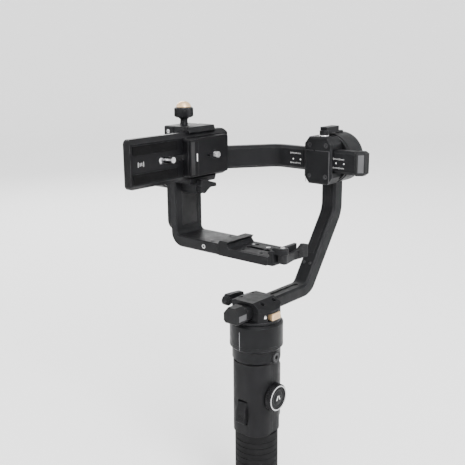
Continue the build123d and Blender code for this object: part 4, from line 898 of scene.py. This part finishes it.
lathe(knob, [(0, GRIP_HIGH - 1.3), (RIM_R, GRIP_HIGH - 1.3), (RIM_R, GRIP_HIGH - 0.9),
             (RIM_R - 1.2, GRIP_HIGH), (0, GRIP_HIGH)], (KNOB_X, 0, 0), steps=72)
make("height_knob_grip", knob, fluted_black, "height_knob", ("height_knob",))
dome = bmesh.new()
lathe(dome, [(0, 441), (8.1, 441), (8.1, 441.9), (7.8, 442.9), (7.1, 444.2), (5.9, 445.6),
             (4.2, 446.8), (2.2, 447.4), (0, 447.5)], (KNOB_X, 0, 0), steps=72)
make("height_knob_dome", dome, gold_anodised, "height_knob")

# ---------------------------------------------------------------- camera tray
# The tray is a long floor between a fixed jaw and a jaw that a lever at its end draws in.
# It is screwed to the bracket, and its stop pin and screws are bright steel.

tray_low, tray_high = corners("tray_receiver")
FLOOR_Z = 301.0
tray_screws = bmesh.new()
hex_screw(tray_screws, (8, 10, FLOOR_Z - 0.1), (0, 0, 1), head_r=2.4, head_h=0.5, key_r=1.2)
hex_screw(tray_screws, (-12, 10, FLOOR_Z - 0.1), (0, 0, 1), head_r=1.8, head_h=0.5, key_r=0.9)
make("tray_screws", tray_screws, plain_steel, "bracket")
tray_ribs = bmesh.new()
lathe(tray_ribs, [(8.2, -0.2), (8.2, 0.16), (8.5, 0.24), (8.9, 0.24), (9.2, 0.16), (9.2, -0.2)],
      (19.5, 0, FLOOR_Z), steps=64)
for side in (tray_low.y + 3.2, tray_high.y - 3.2):
    bar(tray_ribs, (46, 1.0, 0.4), (2, side, FLOOR_Z), rounding=0.15)
make("tray_ribs", tray_ribs, black_anodised, "bracket")
JOINT_X = -48
JOINT_TOP = 303.9
joint_screws = bmesh.new()
for side in (-14, 14):
    screw_spot = (JOINT_X, side, JOINT_TOP)
    hex_screw(joint_screws, screw_spot, (0, 0, 1), head_r=2.2, head_h=0.7, key_r=1.1)
make("bracket_screws", joint_screws, black_oxide, "bracket")

dress(plug_grey, "tray_lever")
_, jaw_high = corners("tray_jaw")
TRAY_LEVER_SPOT = (43, -12, jaw_high.z - 0.1)
jaw_bolt = bmesh.new()
hex_screw(jaw_bolt, TRAY_LEVER_SPOT, (0, 0, 1), head_r=2.4, head_h=0.8, key_r=1.2)
make("tray_lever_bolt", jaw_bolt, plain_steel, "tray_jaw")
_, paddle_high = corners("tray_lever")
FIRST_PADDLE_RIB = 12.4
paddle_ribs = bmesh.new()
for step in range(7):
    rib_spot = (paddle_high.x - 2.6 + 0.03 * step, FIRST_PADDLE_RIB + 2 * step, 300.4)
    bar(paddle_ribs, (0.5, 0.7, 8.2), rib_spot, rounding=0.2)
make("tray_lever_ribs", paddle_ribs, plug_grey, "tray_lever")

# ---------------------------------------------------------------- quick-release plate
# A milled dovetail plate slides in the upright receiver, faced with two ribbed rubber strips.
# The riser on it takes the camera, against its lip, with a steel screw and a register pin.

plate_black = worn_finish(
    "plate_black", (0.0045, 0.0045, 0.0052), roughness=0.44, metallic=0.12,
    worn=(0.2, 0.2, 0.21), radius=0.0006, wear=0.6)
pad_rubber = worn_finish(
    "pad_rubber", (0.0018, 0.0018, 0.0021), roughness=0.7, metallic=0.0,
    worn=(0.03, 0.03, 0.03), radius=0.0003, wear=0.2, scale=1200.0, depth=0.0001)
dress(plate_black, "quick_plate", "camera_riser")
dress(pad_rubber, "plate_pads")
dress(plain_steel, "camera_screw")

pads_low, pads_high = corners("plate_pads")
PADS_MID_Y = (pads_low.y + pads_high.y) / 2
PAD_RUN = pads_high.y - pads_low.y
PAD_HALF = 4.75
pad_ribs = bmesh.new()
for middle in (pads_low.z + PAD_HALF, pads_high.z - PAD_HALF):
    for step in range(6):
        height = middle - 3.5 + 1.4 * step
        bar(pad_ribs, (0.4, PAD_RUN - 3, 0.7), (pads_high.x, PADS_MID_Y, height), rounding=0.15)
make("plate_pad_ribs", pad_ribs, pad_rubber, "plate")

riser_low, riser_high = corners("camera_riser")
RISER_X = -64.0
LIP_X = -61.0
STUD_Y = 8.7
STUD_Z = 392.5
LIP_Z = (riser_low.z + riser_high.z) / 2
# Painted highlight: a lighter grey band on the lip's lit face.
lip_highlight = bmesh.new()
bar(lip_highlight, (0.3, 5.4, 34), (LIP_X, riser_low.y + 4.4, LIP_Z), rounding=0.12)
make("riser_lip_highlight", lip_highlight, panel_and_highlight_grey, "plate")
lip_line = bmesh.new()
bar(lip_line, (0.2, 1.2, 8), (LIP_X, -21.4, STUD_Z), rounding=0.08)
make("riser_lip_line", lip_line, white_ink, "plate")

collar = bmesh.new()
lathe(collar, [(3.3, 0), (3.3, 0.5), (4.6, 0.7), (4.8, 0.5), (4.8, 0)],
      (RISER_X, STUD_Y, STUD_Z), (1, 0, 0), steps=40)
make("camera_stud_collar", collar, plate_black, "plate")
CORE_R = 3.05
CREST_R = 3.32
stud = bmesh.new()
for turn in range(4):
    start = 0.9 + CAMERA_PITCH * turn
    lathe(stud, [(CORE_R, start), (CREST_R, start + 0.45), (CREST_R, start + 0.6),
                 (CORE_R, start + 1.05)], (RISER_X, STUD_Y, STUD_Z), (1, 0, 0), steps=36)
make("camera_stud_thread", stud, plain_steel, "plate")

plate_low, plate_high = corners("quick_plate")
index_ticks = bmesh.new()
for step in range(4):
    tall = 3.2 if step % 3 else 5
    bar(index_ticks, (0.1, 0.4, tall), (plate_high.x, plate_low.y + 10 + 2.4 * step, STUD_Z))
make("plate_index_ticks", index_ticks, white_ink, "plate")
